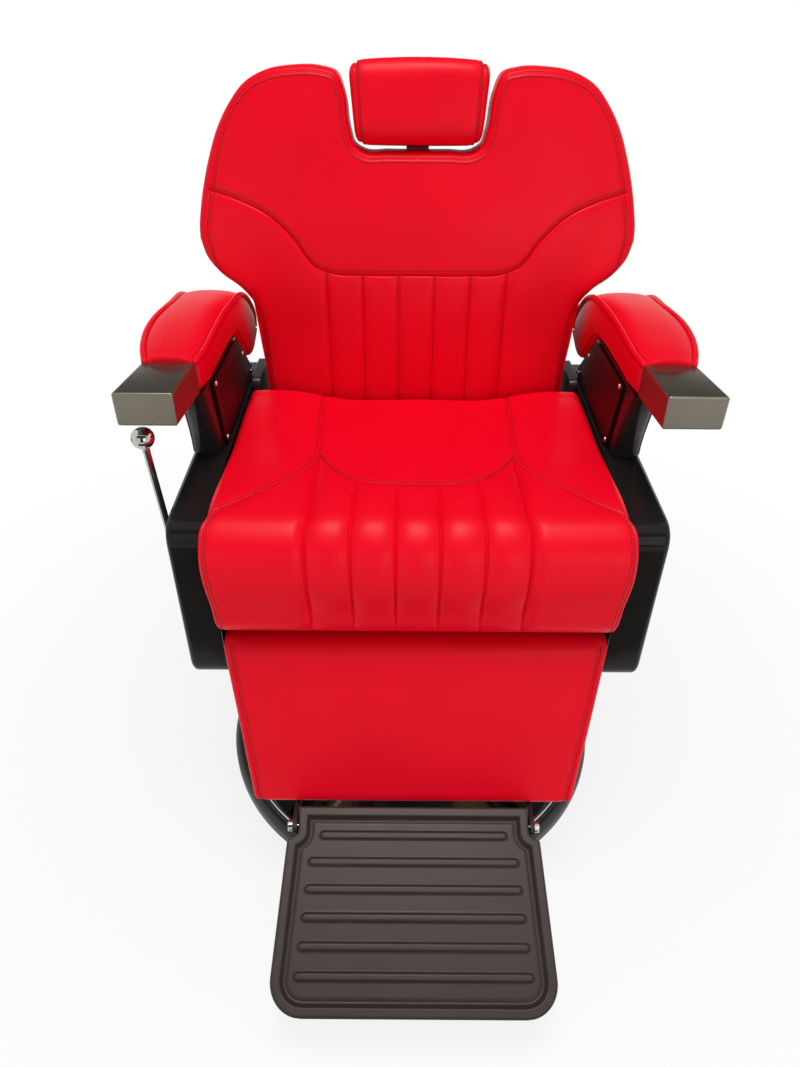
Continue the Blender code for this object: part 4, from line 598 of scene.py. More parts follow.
def even(path, step):
    """A path read again at equal steps of length."""
    path = np.asarray(path, float)
    length = np.concatenate([[0], np.cumsum(np.linalg.norm(np.diff(path, axis=0), axis=1))])
    place = np.linspace(0, length[-1], max(2, int(length[-1] / step) + 1))
    return np.stack([np.interp(place, length, path[:, k]) for k in range(path.shape[1])], -1)


def distance(points, path):
    """Shortest distance from each point to a path's segments."""
    flat = points.reshape(-1, points.shape[-1])
    best = np.full(len(flat), 1e9)
    for a, b in zip(path[:-1], path[1:]):
        along = b - a
        t = np.clip((flat - a) @ along / max(along @ along, 1e-12), 0, 1)
        best = np.minimum(best, ((flat - a - t[:, None] * along) ** 2).sum(1))
    return np.sqrt(best).reshape(points.shape[:-1])


def smooth(low, high, value):
    """0 below low, 1 above high, and an S curve between."""
    t = np.clip((value - low) / (high - low), 0, 1)
    return t * t * (3 - 2 * t)


def roll(gap, radius):
    """Fall of a rounded edge at a gap from the outline: a quarter circle."""
    near = np.clip(gap / radius, 0, 1)
    return radius * (1 - np.sqrt(np.clip(1 - (1 - near) ** 2, 0, 1)))


def crease(gap):
    """Depth of a seam at a gap from it: a sharp crease in a shallow valley."""
    s = sizes()
    valley = 0.008
    sharp = np.exp(-(gap / s.seam_width) ** 2)
    return s.seam_depth * sharp + 0.6 * s.seam_depth * np.exp(-(gap / valley) ** 2)


def channels(x):
    """Depth of five sewn channels across x: round pillows between seams that are a pitch apart."""
    s = sizes()
    half = 2.5 * s.channel_pitch
    pillow = s.channel_depth * (1 - np.abs(np.cos(np.pi * x / s.channel_pitch)) ** 0.55)
    outside = s.channel_depth * np.clip(1 - (np.abs(x) - half) / 0.022, 0, 1) ** 3
    return np.where(np.abs(x) <= half, pillow, outside)


def channel_lines():
    """Places of the channels' six seams."""
    return (np.arange(6) - 2.5) * sizes().channel_pitch


def near_lines(places, lines):
    """Places with finer steps added on both sides of some lines."""
    steps = np.array([-0.006, -0.0036, -0.0022, -0.0011, 0, 0.0011, 0.0022, 0.0036, 0.006])
    extra = (np.asarray(lines)[:, None] + steps).ravel()
    merged = np.sort(np.concatenate([places, extra]))
    keep = np.concatenate([[True], np.diff(merged) > 0.0004])
    return merged[keep]


def normals_of(outline):
    """Outward normals of a closed (y, z) outline: its tangents turned a quarter, by the sign of its area."""
    after = np.roll(outline, -1, 0)
    area = np.sum(outline[:, 0] * after[:, 1] - outline[:, 1] * after[:, 0])
    ahead = after - np.roll(outline, 1, 0)
    normal = np.stack([ahead[:, 1], -ahead[:, 0]], -1) * np.sign(area)
    return normal / np.linalg.norm(normal, axis=1)[:, None]


def stitches(name, cloth, paths, body):
    """Rows of stitches laid on a piece: flattened beads in line with each (path, outward) pair."""
    s = sizes()
    bpy.context.view_layer.update()
    rings, sides = 5, 6
    lean = np.linspace(-1, 1, rings)
    turn = np.linspace(0, 2 * np.pi, sides, endpoint=False)
    girth = np.sqrt(np.clip(1 - np.abs(lean) ** 3, 0.03, 1))
    bead = np.stack([np.repeat(lean[:, None] * s.stitch_length / 2, sides, 1),
                     girth[:, None] * np.cos(turn) * s.thread_radius * 1.25,
                     girth[:, None] * np.sin(turn) * s.thread_radius], -1)
    verts, count = [], 0
    for path, outward in paths:
        centre, axes = on_surface(cloth, path, outward, s.stitch_pitch)
        block = np.einsum("rck,nkd->nrcd", bead, axes)
        block = block + (centre + axes[:, 2] * s.thread_radius * 0.45)[:, None, None]
        verts.append(block.reshape(-1, 3))
        count += len(centre)
    ends = np.stack([np.arange(sides)[::-1], (rings - 1) * sides + np.arange(sides)])
    shift = (np.arange(count) * rings * sides)[:, None, None]
    quads = (ring_faces(rings, sides)[None] + shift).reshape(-1, 4)
    caps = (ends[None] + shift).reshape(-1, sides)
    piece = add_object(name, np.concatenate(verts), [quads, caps], "red_thread", body)
    return piece


def on_surface(cloth, path, outward, step):
    """Even steps of a path cast inwards onto a piece, with the way along, the side and the normal at each."""
    path = np.asarray(path, float)
    outward = np.broadcast_to(np.asarray(outward, float), path.shape)
    length = np.concatenate([[0], np.cumsum(np.linalg.norm(np.diff(path, axis=0), axis=1))])
    place = np.linspace(0, length[-1], max(3, int(length[-1] / step) + 1))
    spot = np.stack([np.interp(place, length, path[:, k]) for k in range(3)], -1)
    out = np.stack([np.interp(place, length, outward[:, k]) for k in range(3)], -1)
    out /= np.linalg.norm(out, axis=1)[:, None]
    lift, reach = 0.02, 0.05
    hits = [cloth.ray_cast(start, -ray, distance=reach) for start, ray in zip(spot + lift * out, out)]
    found = np.array([hit[0] for hit in hits])
    centre = np.array([hit[1] for hit in hits])[found]
    up = np.array([hit[2] for hit in hits])[found]
    along = np.gradient(centre, axis=0)
    along /= np.linalg.norm(along, axis=1)[:, None] + 1e-12
    side = np.cross(up, along)
    side /= np.linalg.norm(side, axis=1)[:, None] + 1e-12
    return centre, np.stack([along, side, np.cross(along, side)], 1)


def lay_painted_seam_shade(name, cloth, paths, body):
    """Painted shade in the seams where panels are sewn together: thin dark rolls half sunk in a piece.

    A six-sided ring is carried along each (path, outward) pair.
    """
    bpy.context.view_layer.update()
    radius, sides, step, sunk = sizes().seam_shade_radius, 6, 0.003, 0.45
    turn = np.linspace(0, 2 * np.pi, sides, endpoint=False)
    circle = np.stack([np.zeros(sides), np.cos(turn), np.sin(turn)], -1) * radius
    verts, quads, caps, count = [], [], [], 0
    for path, outward in paths:
        centre, axes = on_surface(cloth, path, outward, step)
        centre = centre - axes[:, 2] * radius * sunk
        verts.append((np.einsum("ck,nkd->ncd", circle, axes) + centre[:, None]).reshape(-1, 3))
        quads.append(ring_faces(len(centre), sides) + count)
        last = (len(centre) - 1) * sides
        caps.append(np.stack([np.arange(sides)[::-1], last + np.arange(sides)]) + count)
        count += len(centre) * sides
    faces = [np.concatenate(quads), np.concatenate(caps)]
    piece = add_object(name, np.concatenate(verts), faces, "seam_painted_shade", body)
    return piece


def tube(name, path, radius, material, body, steps=16):
    """A round bar along a path, with round ends: circles across the path's tangent."""
    path = np.asarray(path, float)
    along = np.gradient(path, axis=0)
    along /= np.linalg.norm(along, axis=1)[:, None]
    side = np.cross(along, (0.0, 0.0, 1.0))
    weak = np.linalg.norm(side, axis=1) < 0.2
    side[weak] = np.cross(along[weak], (0.0, 1.0, 0.0))
    side /= np.linalg.norm(side, axis=1)[:, None]
    up = np.cross(side, along)
    turn = np.linspace(0, 2 * np.pi, steps, endpoint=False)
    circle = side[:, None] * np.cos(turn)[:, None] + up[:, None] * np.sin(turn)[:, None]
    rings = path[:, None] + circle * radius
    dome = np.radians([75, 50, 25])[:, None, None]
    head = path[0] + radius * (circle[0] * np.cos(dome) - along[0] * np.sin(dome))
    tail = path[-1] + radius * (circle[-1] * np.cos(dome) + along[-1] * np.sin(dome))[::-1]
    return loft(name, np.concatenate([head, rings, tail]), material, body)


def cushion(node):
    """Hides a soft node that a padded piece stands for."""
    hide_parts(node)


def seat_section(front, foot):
    """The seat's side view from its underside round the lip, the nose and the top to its rear, as (y, z).

    A smooth curve through key points, with fine steps where the seat shows and coarse steps below.
    """
    keys = np.array([(0.3065, 0.0), (0.118, 0.0), (0.072, 0.0056), (0.0255, 0.0046), (0.0105, 0.0008),
                     (0.0035, 0.0090), (-0.0018, 0.0500), (-0.0030, 0.0950), (0.0100, 0.1424),
                     (0.038, 0.1650), (0.0745, 0.1704), (0.1565, 0.1660), (0.2865, 0.1532),
                     (0.4065, 0.1404), (0.4395, 0.1364), (0.4485, 0.1290), (0.4515, 0.1120),
                     (0.4515, 0.0234), (0.4365, 0.0), (0.3065, 0.0)])
    keys = keys + (front, foot)
    hidden = even(through(keys[:5], [12] * 4), 0.008)
    shown = even(through(keys[3:17], [24] * 13), 0.0024)
    start = np.argmin(np.linalg.norm(shown - keys[4], axis=1))
    rear = even(through(keys[16:], [8] * 3), 0.012)
    return np.concatenate([hidden[:-1], shown[start:-1], rear[:-1]])


def seat_arc():
    """The seam that ends the channels on the seat's top: a fourth-power curve, as (x, y)."""
    half, front, depth = 0.1425, -0.159, 0.0900
    x = np.linspace(-half, half, 61)
    return np.stack([x, front + depth * np.abs(x / half) ** 3.9], -1)


def seat_side_seam(sign):
    """The seam from the seat's rear round to its front side edge, as (x, y)."""
    keys = [(0.154, 0.158), (0.1485, 0.026), (0.145, -0.057), (0.1478, -0.086), (0.1565, -0.113),
            (0.181, -0.145), (0.2125, -0.181), (0.2375, -0.206), (0.2745, -0.233)]
    path = through(keys, [12, 12, 8, 8, 10, 10, 10, 12])
    return path * (sign, 1.0)


def seat_rise(x, y):
    """How far the seat's top rises towards its rear sides: two S curves multiplied."""
    return 0.017 * smooth(0.095, 0.235, np.abs(x)) * smooth(-0.07, 0.15, y)


class CHAIR_OT_seat(bpy.types.Operator):
    """Builds the seat cushion with its channels, seams and stitches"""

    bl_idname = "chair.seat"
    bl_label = "Seat cushion"

    def execute(self, context):
        # The side view is carried across x. Each point moves in by the sum of the channels, the creases, the
        # rolled ends and a slight sag, and out by the front's bulge, along its normal as far as that shows.
        low, high = corners_of("seat_cushion")
        half, front, foot = high[0], low[1], low[2]
        lip, nose = foot + 0.0010, foot + 0.1684
        section = seat_section(front, foot)
        y, z = section[:, 0], section[:, 1]
        normal = normals_of(section)
        welt = half - 0.0068
        arc = seat_arc()
        half_arc = arc[len(arc) // 2:]

        def swell(y, z):
            """How much wider the seat is where its front stands ahead of the side covers."""
            return 1 + 0.027 * smooth(-0.228, -0.262, y) * smooth(foot + 0.02, foot + 0.12, z)

        x = near_lines(np.linspace(-half, half, 150), [*channel_lines(), -welt, welt])
        ends = np.array([0.0001, 0.0005, 0.0012, 0.0024, 0.0040])
        x = np.unique(np.round(np.concatenate([x, half - ends, ends - half]), 6))
        grid_x = np.broadcast_to(x[:, None], (len(x), len(y)))
        flat = np.stack([grid_x, np.broadcast_to(y, grid_x.shape)], -1)
        up = np.clip(normal[:, 1], 0, 1)
        forward = np.clip(-normal[:, 0], 0, 1)
        upper = smooth(foot + 0.055, foot + 0.075, z)
        push_y = forward * upper + (1 - upper) * (1 - smooth(0.0, 0.07, y - front))
        push_z = up * upper - 0.25 * np.clip(-normal[:, 1], 0, 1) * (1 - upper)
        arc_y = np.interp(np.abs(x), half_arc[:, 0], half_arc[:, 1], right=-0.06)[:, None]
        ahead = smooth(0.0, 0.012, arc_y - y)
        inset = channels(x)[:, None] * ahead * smooth(0.0, 0.05, arc_y - y) * smooth(lip, lip + 0.045, z)
        for line in channel_lines():
            inset = inset + crease(x - line)[:, None] * ahead * smooth(lip - 0.002, lip + 0.008, z)
        top = smooth(0.2, 0.7, up)
        inset = inset + crease(distance(flat, arc)) * top
        for sign in (1, -1):
            inset = inset + crease(distance(flat, seat_side_seam(sign))) * top
        edge = smooth(-0.226, -0.236, y) * smooth(lip, lip + 0.01, z)
        inset = inset + crease(np.abs(x) - welt)[:, None] * edge
        inset = inset + roll(half - np.abs(x), 0.0115)[:, None]
        bulge = 0.003 * (1 - (x[:, None] / half) ** 2) * forward * np.sin(np.pi * smooth(lip, nose, z))
        sag = 0.0008 * np.sin(grid_x * 31 + 1.3) * np.sin(y * 27 + 0.6) * top
        inset = inset - bulge + sag
        rise = seat_rise(x[:, None], y) * smooth(0.1, 0.6, up)
        points = np.stack([grid_x * swell(y, z), y + push_y * inset, z - push_z * inset + rise], -1)
        seat = loft("seat_upholstery", points, "red_leatherette", "chair")
        cushion("seat_cushion")

        # Seams lie on the seat's top at the crest's height, or down its front along the section.
        crest = section[(up > 0.5) & (z > foot + 0.1)]
        crest = crest[np.argsort(crest[:, 0])]

        def over_top(path):
            """Points of a path on the seat's top, given their height."""
            height = np.interp(path[:, 1], crest[:, 0], crest[:, 1])
            return np.column_stack([path, height + seat_rise(path[:, 0], path[:, 1])])

        shown = (z > lip + 0.002) & (y < 0.1) & (upper + forward > 0.2)

        def down_front(line, stop):
            """A line over the nose and down the front at one x, from stop, with its outward normals."""
            part = shown & (y < stop)
            return (np.column_stack([line * swell(y, z)[part], section[part]]),
                    np.column_stack([np.zeros(part.sum()), normal[part]]))

        above = (0.0, 0.0, 1.0)
        # Dark cords along the seams are painted shade of their crevices.
        seam_shade_paths = [(over_top(arc), above)]
        rows = [(over_top(arc + (0, STITCH_GAP)), above)]
        for sign in (1, -1):
            seam_shade_paths.append((over_top(seat_side_seam(sign)), above))
            rows.append((over_top(seat_side_seam(sign) + (sign * 0.0052, 0.002)), above))
            seam_shade_paths.append(down_front(sign * welt, -0.233))
            rows.append(down_front(sign * (welt - STITCH_GAP), -0.236))
        for line in channel_lines():
            stop = np.interp(abs(line), half_arc[:, 0], half_arc[:, 1], right=-0.064)
            seam_shade_paths.append(down_front(line, stop - 0.002))
        lay_painted_seam_shade("seat_seam_shade", seat, seam_shade_paths, "chair")
        stitches("seat_stitches", seat, rows, "chair")
        return {"FINISHED"}


def back_profile(z):
    """The back's front face at a height: upright, then leaning, with a soft bend.

    Gives y, and 1 over the cosine of the lean there.
    """
    span = 0.120
    t = np.clip((z - BACK_BEND) / span + 0.5, 0, 1)
    y = BACK_FRONT + math.tan(LEAN) * (span * t ** 2 / 2 + np.maximum(z - BACK_BEND - span / 2, 0))
    return y, 1 + (1 / math.cos(LEAN) - 1) * t


def back_outline():
    """Matching points of the back's lower and upper outline on its left half, from the middle to the tip."""
    foot, tip = 0.585, (WING, 0.912)
    upper_keys = [(0, 1.0345), (0.045, 1.0345), (0.083, 1.036), (0.0965, 1.0445), (0.1025, 1.062),
                  (0.1115, 1.117), (0.1205, 1.1365), (0.145, 1.1440), (0.185, 1.1448), (0.2255, 1.1385),
                  (0.2575, 1.123), (0.281, 1.098), (0.3025, 1.064), (0.3175, 1.0275), (0.3305, 0.986),
                  (0.3385, 0.951), (0.3420, 0.929), tip]
    lower_keys = [(x, foot) for x in (0, 0.045, 0.083, 0.097, 0.107, 0.122, 0.132, 0.1445, 0.180)]
    lower_keys += [(0.214, 0.5855), (0.2405, 0.591), (0.2520, 0.665), (0.2578, 0.775), (0.2645, 0.813),
                   (0.283, 0.837), (0.314, 0.8605), (0.334, 0.885), tip]
    counts = [24, 20, 10, 12, 26, 12, 12, 18, 18, 16, 16, 20, 22, 20, 20, 18, 14]
    return through(lower_keys, counts), through(upper_keys, counts)


def back_rows(lower, upper, seam):
    """Shares along each line from the lower to the upper outline, dense at both ends and at the yoke seam."""
    length = np.maximum(np.linalg.norm(upper - lower, axis=1), 1e-5)[:, None]
    share = np.full(len(lower), 0.5)
    for _ in range(12):
        x = lower[:, 0] + (upper - lower)[:, 0] * share
        rise = np.maximum((upper - lower)[:, 1], 0.004)
        share = np.clip((np.interp(x, seam[:, 0], seam[:, 1]) - lower[:, 1]) / rise, 0.12, 0.88)
    edge = np.array([0, 0.3, 0.8, 1.6, 2.6, 3.7, 4.8, 5.8, 6.6, 7.3, 8.0, 8.8, 9.8, 11.0, 12.2, 13.4,
                     14.5, 15.5, 16.7, 18.5, 21, 25]) / 1000
    fold = np.array([0, 0.6, 1.3, 2.1, 3.1, 4.3, 6.0, 8.5, 12, 16]) / 1000
    parts = []
    for low, high, starts, stops in ((0 * share, share, edge, fold), (share, 0 * share + 1, fold, edge)):
        span = (high - low)[:, None] * length
        fit = np.minimum(1, span / 0.060) / length
        head = low[:, None] + starts * fit
        tail = high[:, None] - stops[::-1] * fit
        between = np.linspace(0, 1, 17)[1:-1]
        parts += [head, head[:, -1:] + (tail[:, :1] - head[:, -1:]) * between, tail]
    parts[3] = parts[3][:, 1:]
    return np.concatenate(parts, 1)


def yoke_line():
    """The yoke seam on the left half, from the middle out to the wing, as (x, z)."""
    keys = [(0, 0.863), (0.08, 0.863), (0.137, 0.866), (0.160, 0.8755), (0.193, 0.917), (0.233, 0.952),
            (0.272, 0.969), (0.3105, 0.980), (0.336, 0.986)]
    return through(keys, [12, 12, 10, 14, 14, 14, 12, 10])


def back_welt(x, z):
    """How far inside the back's outline its edge seam lies: one width, and more along the wings."""
    return sizes().back_welt + 0.0078 * smooth(0.285, 0.335, x) * smooth(0.86, 0.90, z)


class CHAIR_OT_back(bpy.types.Operator):
    """Builds the back cushion with its yoke, channels, seams and stitches"""

    bl_idname = "chair.back"
    bl_label = "Back cushion"

    def execute(self, context):
        # Lines run from the lower to the upper outline of one half, which is mirrored. Each point lies behind
        # the front profile by the sum of the rolled edge, the channels, the creases, the crown and the dents.
        s = sizes()
        lower, upper = back_outline()
        yoke = yoke_line()
        share = back_rows(lower, upper, yoke)
        flat = lower[:, None] + (upper - lower)[:, None] * share[..., None]
        gap = distance(flat, np.concatenate([lower, upper[::-1]]))
        x, z = flat[..., 0], flat[..., 1]
        welt = back_welt(x, z)
        seam_z = np.interp(x, yoke[:, 0], yoke[:, 1])
        below = smooth(0.0, 0.005, seam_z - z) * (z < 0.9)
        roll_width = welt * 1.7
        inset = roll(gap, roll_width) * (s.back_roll / roll_width)
        inset = inset + channels(x) * 0.6 * below * smooth(0.0, 0.045, seam_z - z)
        for line in channel_lines()[3:]:
            inset = inset + crease(x - line) * below
        inset = inset + crease(distance(flat, yoke)) * 1.2 * smooth(0.004, 0.014, gap)
        inset = inset + crease(gap - welt) * 0.75
        crown = 0.010 * (x / WING) ** 2
        puff = 0.005 * smooth(0.015, 0.10, gap) * smooth(0.87, 0.96, z)
        dent = np.sin(x * 23 + 0.4) * np.sin(z * 29 + 1.0) + 0.6 * np.sin(x * 47 - z * 19)
        inset = inset + crown - puff + 0.0009 * dent * smooth(0.02, 0.06, gap)
        y, sec = back_profile(z)
        front = np.stack([x, y + inset * sec, z], -1)

        def behind(points, depth):
            """Outline points at a depth behind the back's front face."""
            y, sec = back_profile(points[..., 1])
            return np.stack([points[..., 0], y + depth * sec, points[..., 1]], -1)

        # The edge falls back from the front to the rear face; its upper side rounds over as it goes.
        deep = np.array([0.026, 0.036, 0.048, 0.060, 0.067])
        fall = np.array([0.0, 0.0008, 0.0030, 0.0068, 0.0100])
        slope = np.column_stack([0 * upper[:, 1], 0.5 + 0.5 * smooth(1.05, 1.12, upper[:, 1])])
        above = np.stack([behind(upper - slope * f, d) for f, d in zip(fall, deep)], 1)
        under = np.stack([behind(lower, d) for d in deep[::-1]], 1)
        rear_share = np.linspace(1, 0, 10)
        rear_top = upper - slope * 0.0125
        rear = behind(lower[:, None] + (rear_top - lower)[:, None] * rear_share[None, :, None], 0.0698)
        half = np.concatenate([front, above, rear, under], 1)
        other = half[:0:-1] * (-1.0, 1.0, 1.0)
        back = loft("back_upholstery", np.concatenate([other, half]), "red_leatherette", "back")
        cushion("back_cushion")

        rim = np.concatenate([lower[40:-1], upper[::-1]])
        wide = back_welt(rim[:, 0], rim[:, 1])

        def inside_rim(extra):
            """The edge seam's line: the outline drawn in by the welt plus extra, without loops at corners."""
            ahead = np.gradient(rim, axis=0)
            inward = np.stack([-ahead[:, 1], ahead[:, 0]], -1) / np.linalg.norm(ahead, axis=1)[:, None]
            line = rim + inward * (wide + extra)[:, None]
            clear = distance(line, rim) > (wide + extra) * 0.93
            return behind(line[clear & (line[:, 0] >= 0)], 0.0)

        facing = (0.0, -1.0, 0.18)
        yoke_seam = yoke[:-8]
        yoke_row = yoke_seam + (0, 0.0078)
        # Dark cords along the seams are painted shade of their crevices.
        seam_shade_paths, rows = [], []
        for sign in (1, -1):
            mirror = (sign, 1, 1)
            seam_shade_paths.append((inside_rim(0.0) * mirror, facing))
            rows.append((inside_rim(STITCH_GAP) * mirror, facing))
            seam_shade_paths.append((behind(yoke_seam, 0.0) * mirror, facing))
            rows.append((behind(yoke_row, 0.0) * mirror, facing))
        for line in channel_lines():
            top = np.interp(abs(line), yoke[:, 0], yoke[:, 1])
            rise = np.linspace(0.60, top - 0.002, 80)
            seam_shade_paths.append((behind(np.stack([np.full(80, line), rise], -1), 0.0), facing))
        lay_painted_seam_shade("back_seam_shade", back, seam_shade_paths, "back")
        stitches("back_stitches", back, rows, "back")
        return {"FINISHED"}


def leaned(points):
    """Points given across, behind and along the leaning back, brought to the chair."""
    points = np.asarray(points, float)
    x, n, s = points[..., 0], points[..., 1], points[..., 2]
    return np.stack([x, BACK_FRONT + n * math.cos(LEAN) + s * math.sin(LEAN),
                     BACK_BEND - n * math.sin(LEAN) + s * math.cos(LEAN)], -1)


def squared(wave, power):
    """A sine or cosine drawn towards a square wave: its size to a power, with its sign kept."""
    return np.sign(wave) * np.abs(wave) ** power


class CHAIR_OT_headrest(bpy.types.Operator):
    """Builds the headrest pad with its end seams and stitches"""

    bl_idname = "chair.headrest"
    bl_label = "Headrest"

    def execute(self, context):
        # A squared ellipse carried across x, drawn in at both ends by a quarter circle, a seam and a crown.
        middle, half_n, half_s, half_x = 0.2467, 0.0448, 0.0580, 0.1030
        rear_n, power = 0.0775, 0.52
        centre_n = rear_n - half_n
        turn = np.linspace(0, 2 * np.pi, 180, endpoint=False)
        n = half_n * squared(np.cos(turn), power)
        s = half_s * squared(np.sin(turn), power)
        seam = half_x - 0.0100
        ends = np.array([0.0002, 0.001, 0.0025])
        x = near_lines(np.linspace(-half_x, half_x, 120), [-seam, seam])
        x = np.sort(np.concatenate([x, half_x - ends, ends - half_x]))
        fall = roll(half_x - np.abs(x), 0.0155) + crease(np.abs(x) - seam)
        fall = fall + 0.003 * (x / half_x) ** 2
        scale_n = 1 - fall / half_n
        scale_s = 1 - fall / half_s
        taper = 1 - 0.036 * (1 - s / half_s)
        dent = 0.0010 * np.sin(x * 37)[:, None] * np.sin(2 * turn)[None]
        points = np.stack([x[:, None] * taper, centre_n + n * scale_n[:, None] + dent,
                           middle + s * scale_s[:, None] + 0.002 * np.cos(x * 14)[:, None]], -1)
        pad = loft("headrest_upholstery", leaned(points), "red_leatherette", "headrest")
        cushion("headrest_pad")
        ring = np.stack([n + centre_n, s + middle], -1)
        outward = np.column_stack([np.zeros(len(ring)), normals_of(ring)])
        outward = leaned(outward) - leaned(np.zeros(3))
        # Dark cords along the end seams are painted shade of their crevices.
        seam_shade_paths, rows = [], []
        for sign in (1, -1):
            rows.append((leaned(np.column_stack([sign * (seam - STITCH_GAP) * taper, ring])), outward))
            seam_shade_paths.append((leaned(np.column_stack([sign * seam * taper, ring])), outward))
        lay_painted_seam_shade("headrest_seam_shade", pad, seam_shade_paths, "headrest")
        stitches("headrest_stitches", pad, rows, "headrest")
        return {"FINISHED"}


def pad_rows(count):
    """Sections of an arm pad from its cap to the end of its drop: top y, z, under y, z, inner x, outer x."""
    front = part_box("arm_pad_left")[0][1]
    keys = np.array([(0.000, 0.8500, 0.000, 0.8040, 0.2900, 0.3610),
                     (0.028, 0.8525, 0.028, 0.8040, 0.2845, 0.3700),
                     (0.070, 0.8540, 0.066, 0.8038, 0.2830, 0.3785),
                     (0.130, 0.8540, 0.125, 0.8010, 0.2825, 0.3825),
                     (0.215, 0.8480, 0.190, 0.7970, 0.2815, 0.3775),
                     (0.300, 0.8315, 0.236, 0.7900, 0.2805, 0.3805),
                     (0.355, 0.8000, 0.270, 0.7620, 0.2800, 0.3785),
                     (0.389, 0.7580, 0.300, 0.7330, 0.2800, 0.3765),
                     (0.3905, 0.7350, 0.312, 0.7210, 0.2815, 0.3750),
                     (0.380, 0.7220, 0.320, 0.7120, 0.2840, 0.3725)])
    return through(keys + (front, 0, front, 0, 0, 0), [count] * (len(keys) - 1))


class CHAIR_OT_arm_pads(bpy.types.Operator):
    """Builds the two arm pads with their piping and stitches"""

    bl_idname = "chair.arm_pads"
    bl_label = "Arm pads"

    def execute(self, context):
        # Squared ellipses between the pad's top and under lines, plump on top and at the sides, carried along
        # the pad and tucked in at the end of its drop.
        s = sizes()
        rows = pad_rows(20)
        top, under = rows[:, 0:2], rows[:, 2:4]
        height = np.linalg.norm(top - under, axis=1)
        up = (top - under) / height[:, None]
        middle_x = (rows[:, 4] + rows[:, 5]) / 2
        half_x = (rows[:, 5] - rows[:, 4]) / 2
        turn = np.linspace(0, 2 * np.pi, 132, endpoint=False)
        power = 0.36
        across = squared(np.cos(turn), power)
        lift = squared(np.sin(turn), power)
        plump = 0.0065 * (1 - across ** 2) * np.clip(lift, 0, 1)
        belly = 0.0025 * (1 - lift ** 2) * np.abs(across) ** 6
        run = np.linspace(0, 1, len(rows))
        tuck = roll((1 - run) * 0.45, 0.016) * 0.9
        for side, sign in SIDES:
            x = middle_x[:, None] + across * (half_x - tuck * 0.5)[:, None] + belly * np.sign(across)
            along = lift * (height / 2 - tuck * 0.5)[:, None] + plump
            yz = ((top + under) / 2)[:, None] + up[:, None] * along[..., None]
            points = np.concatenate([sign * x[..., None], yz], -1)
            pad = loft(f"arm_upholstery_{side}", points, "red_leatherette", "chair")
            cushion(f"arm_pad_{side}")
            # Dark cords inside the piping are painted shade of the seam crevices.
            seam_shade_paths = []
            for place, name in ((-1, "inner"), (1, "outer")):
                edge_x = middle_x + place * (half_x - 0.0028)
                edge = top - up * 0.0016
                path = np.column_stack([sign * edge_x, edge])[1:-3]
                piping = tube(f"arm_piping_{name}_{side}", even(path, 0.004), s.piping_radius,
                              "red_leatherette", "chair", 14)
                # The line of painted seam shade just inside each piping.
                inside = middle_x + place * (half_x - 0.0078)
                fold = np.column_stack([sign * inside, top])
                outward = np.column_stack([0 * inside, up])
                seam_shade_paths.append((fold[2:-8], outward[2:-8]))
            drop = np.column_stack([sign * rows[:, 4], under + up * 0.006])
            drop = drop[len(rows) * 5 // 9:-6]
            lay_painted_seam_shade(f"arm_seam_shade_{side}", pad, seam_shade_paths, "chair")
            stitches(f"arm_stitches_{side}", pad, [(drop, (-sign, 0.0, 0.0))], "chair")
        return {"FINISHED"}


def leg_place(points):
    """Points given across, behind and along the leg rest, brought to the chair."""
    points = np.asarray(points, float)
    x, n, s = points[..., 0], points[..., 1], points[..., 2]
    c, t = math.cos(LEG_TILT), math.sin(LEG_TILT)
    return np.stack([x, LEG_PIVOT[0] + n * c - s * t, LEG_PIVOT[1] + n * t + s * c], -1)


class CHAIR_OT_leg_rest(bpy.types.Operator):
    """Builds the leg-rest pad with its edge seams and stitches"""

    bl_idname = "chair.leg_rest"
    bl_label = "Leg rest pad"

    def execute(self, context):
        # A face with rolled edges, a bulge and slight dents in the leg rest's own plane, and a flat rear.
        top, tall, front, thick = -0.0056, 0.290, -0.0689, 0.040
        half_low, half_top = 0.248, 0.278
        share = np.sin(np.linspace(0, np.pi / 2, 150)) ** 2
        s = top - tall * share
        half = half_low + (half_top - half_low) * (1 - share)
        round_s = np.where(share < 0.5, roll(top - s, 0.023), roll(s - top + tall, 0.010))
        u = np.sin(np.linspace(-np.pi / 2, np.pi / 2, 190))
        welt = 0.0105
        width = half - round_s * np.where(share < 0.5, 0.2, 0.6)
        x = u[None] * width[:, None]
        gap = width[:, None] - np.abs(x)
        fall = roll(gap, 0.0095) + round_s[:, None]
        fall = fall + crease(gap - welt) * smooth(0.0, 0.012, top - s)[:, None]
        bulge = 0.007 * (1 - u ** 4)[None] * np.sin(np.pi * share)[:, None]
        dent = 0.0008 * np.sin(x * 21) * np.sin(s * 33)[:, None]
        skin = front + 0.006
        n = np.minimum(skin + fall - bulge + dent, front + thick - 0.002)
        face = np.stack([x, n, np.broadcast_to(s[:, None], x.shape)], -1)
        rear_x = np.linspace(1, -1, 12)[None] * width[:, None]
        rear = np.stack([rear_x, np.full_like(rear_x, front + thick),
                         np.broadcast_to(s[:, None], rear_x.shape)], -1)
        points = leg_place(np.concatenate([face, rear], 1))
        pad = loft("leg_rest_upholstery", points, "red_leatherette", "leg_rest")
        cushion("leg_rest_pad")
        depth = np.full(len(s), skin)
        outward = leg_place(np.array([0.0, -1.0, 0.0])) - leg_place(np.zeros(3))
        # Dark cords along the edge seams are painted shade of their crevices.
        seam_shade_paths, rows = [], []
        for sign in (1, -1):
            seam = np.column_stack([sign * (width - welt), depth, s])
            row = np.column_stack([sign * (width - welt - STITCH_GAP), depth, s])
            seam_shade_paths.append((leg_place(seam[18:-4]), outward))
            rows.append((leg_place(row[18:-6]), outward))
        lay_painted_seam_shade("leg_rest_seam_shade", pad, seam_shade_paths, "leg_rest")
        stitches("leg_rest_stitches", pad, rows, "leg_rest")
        return {"FINISHED"}


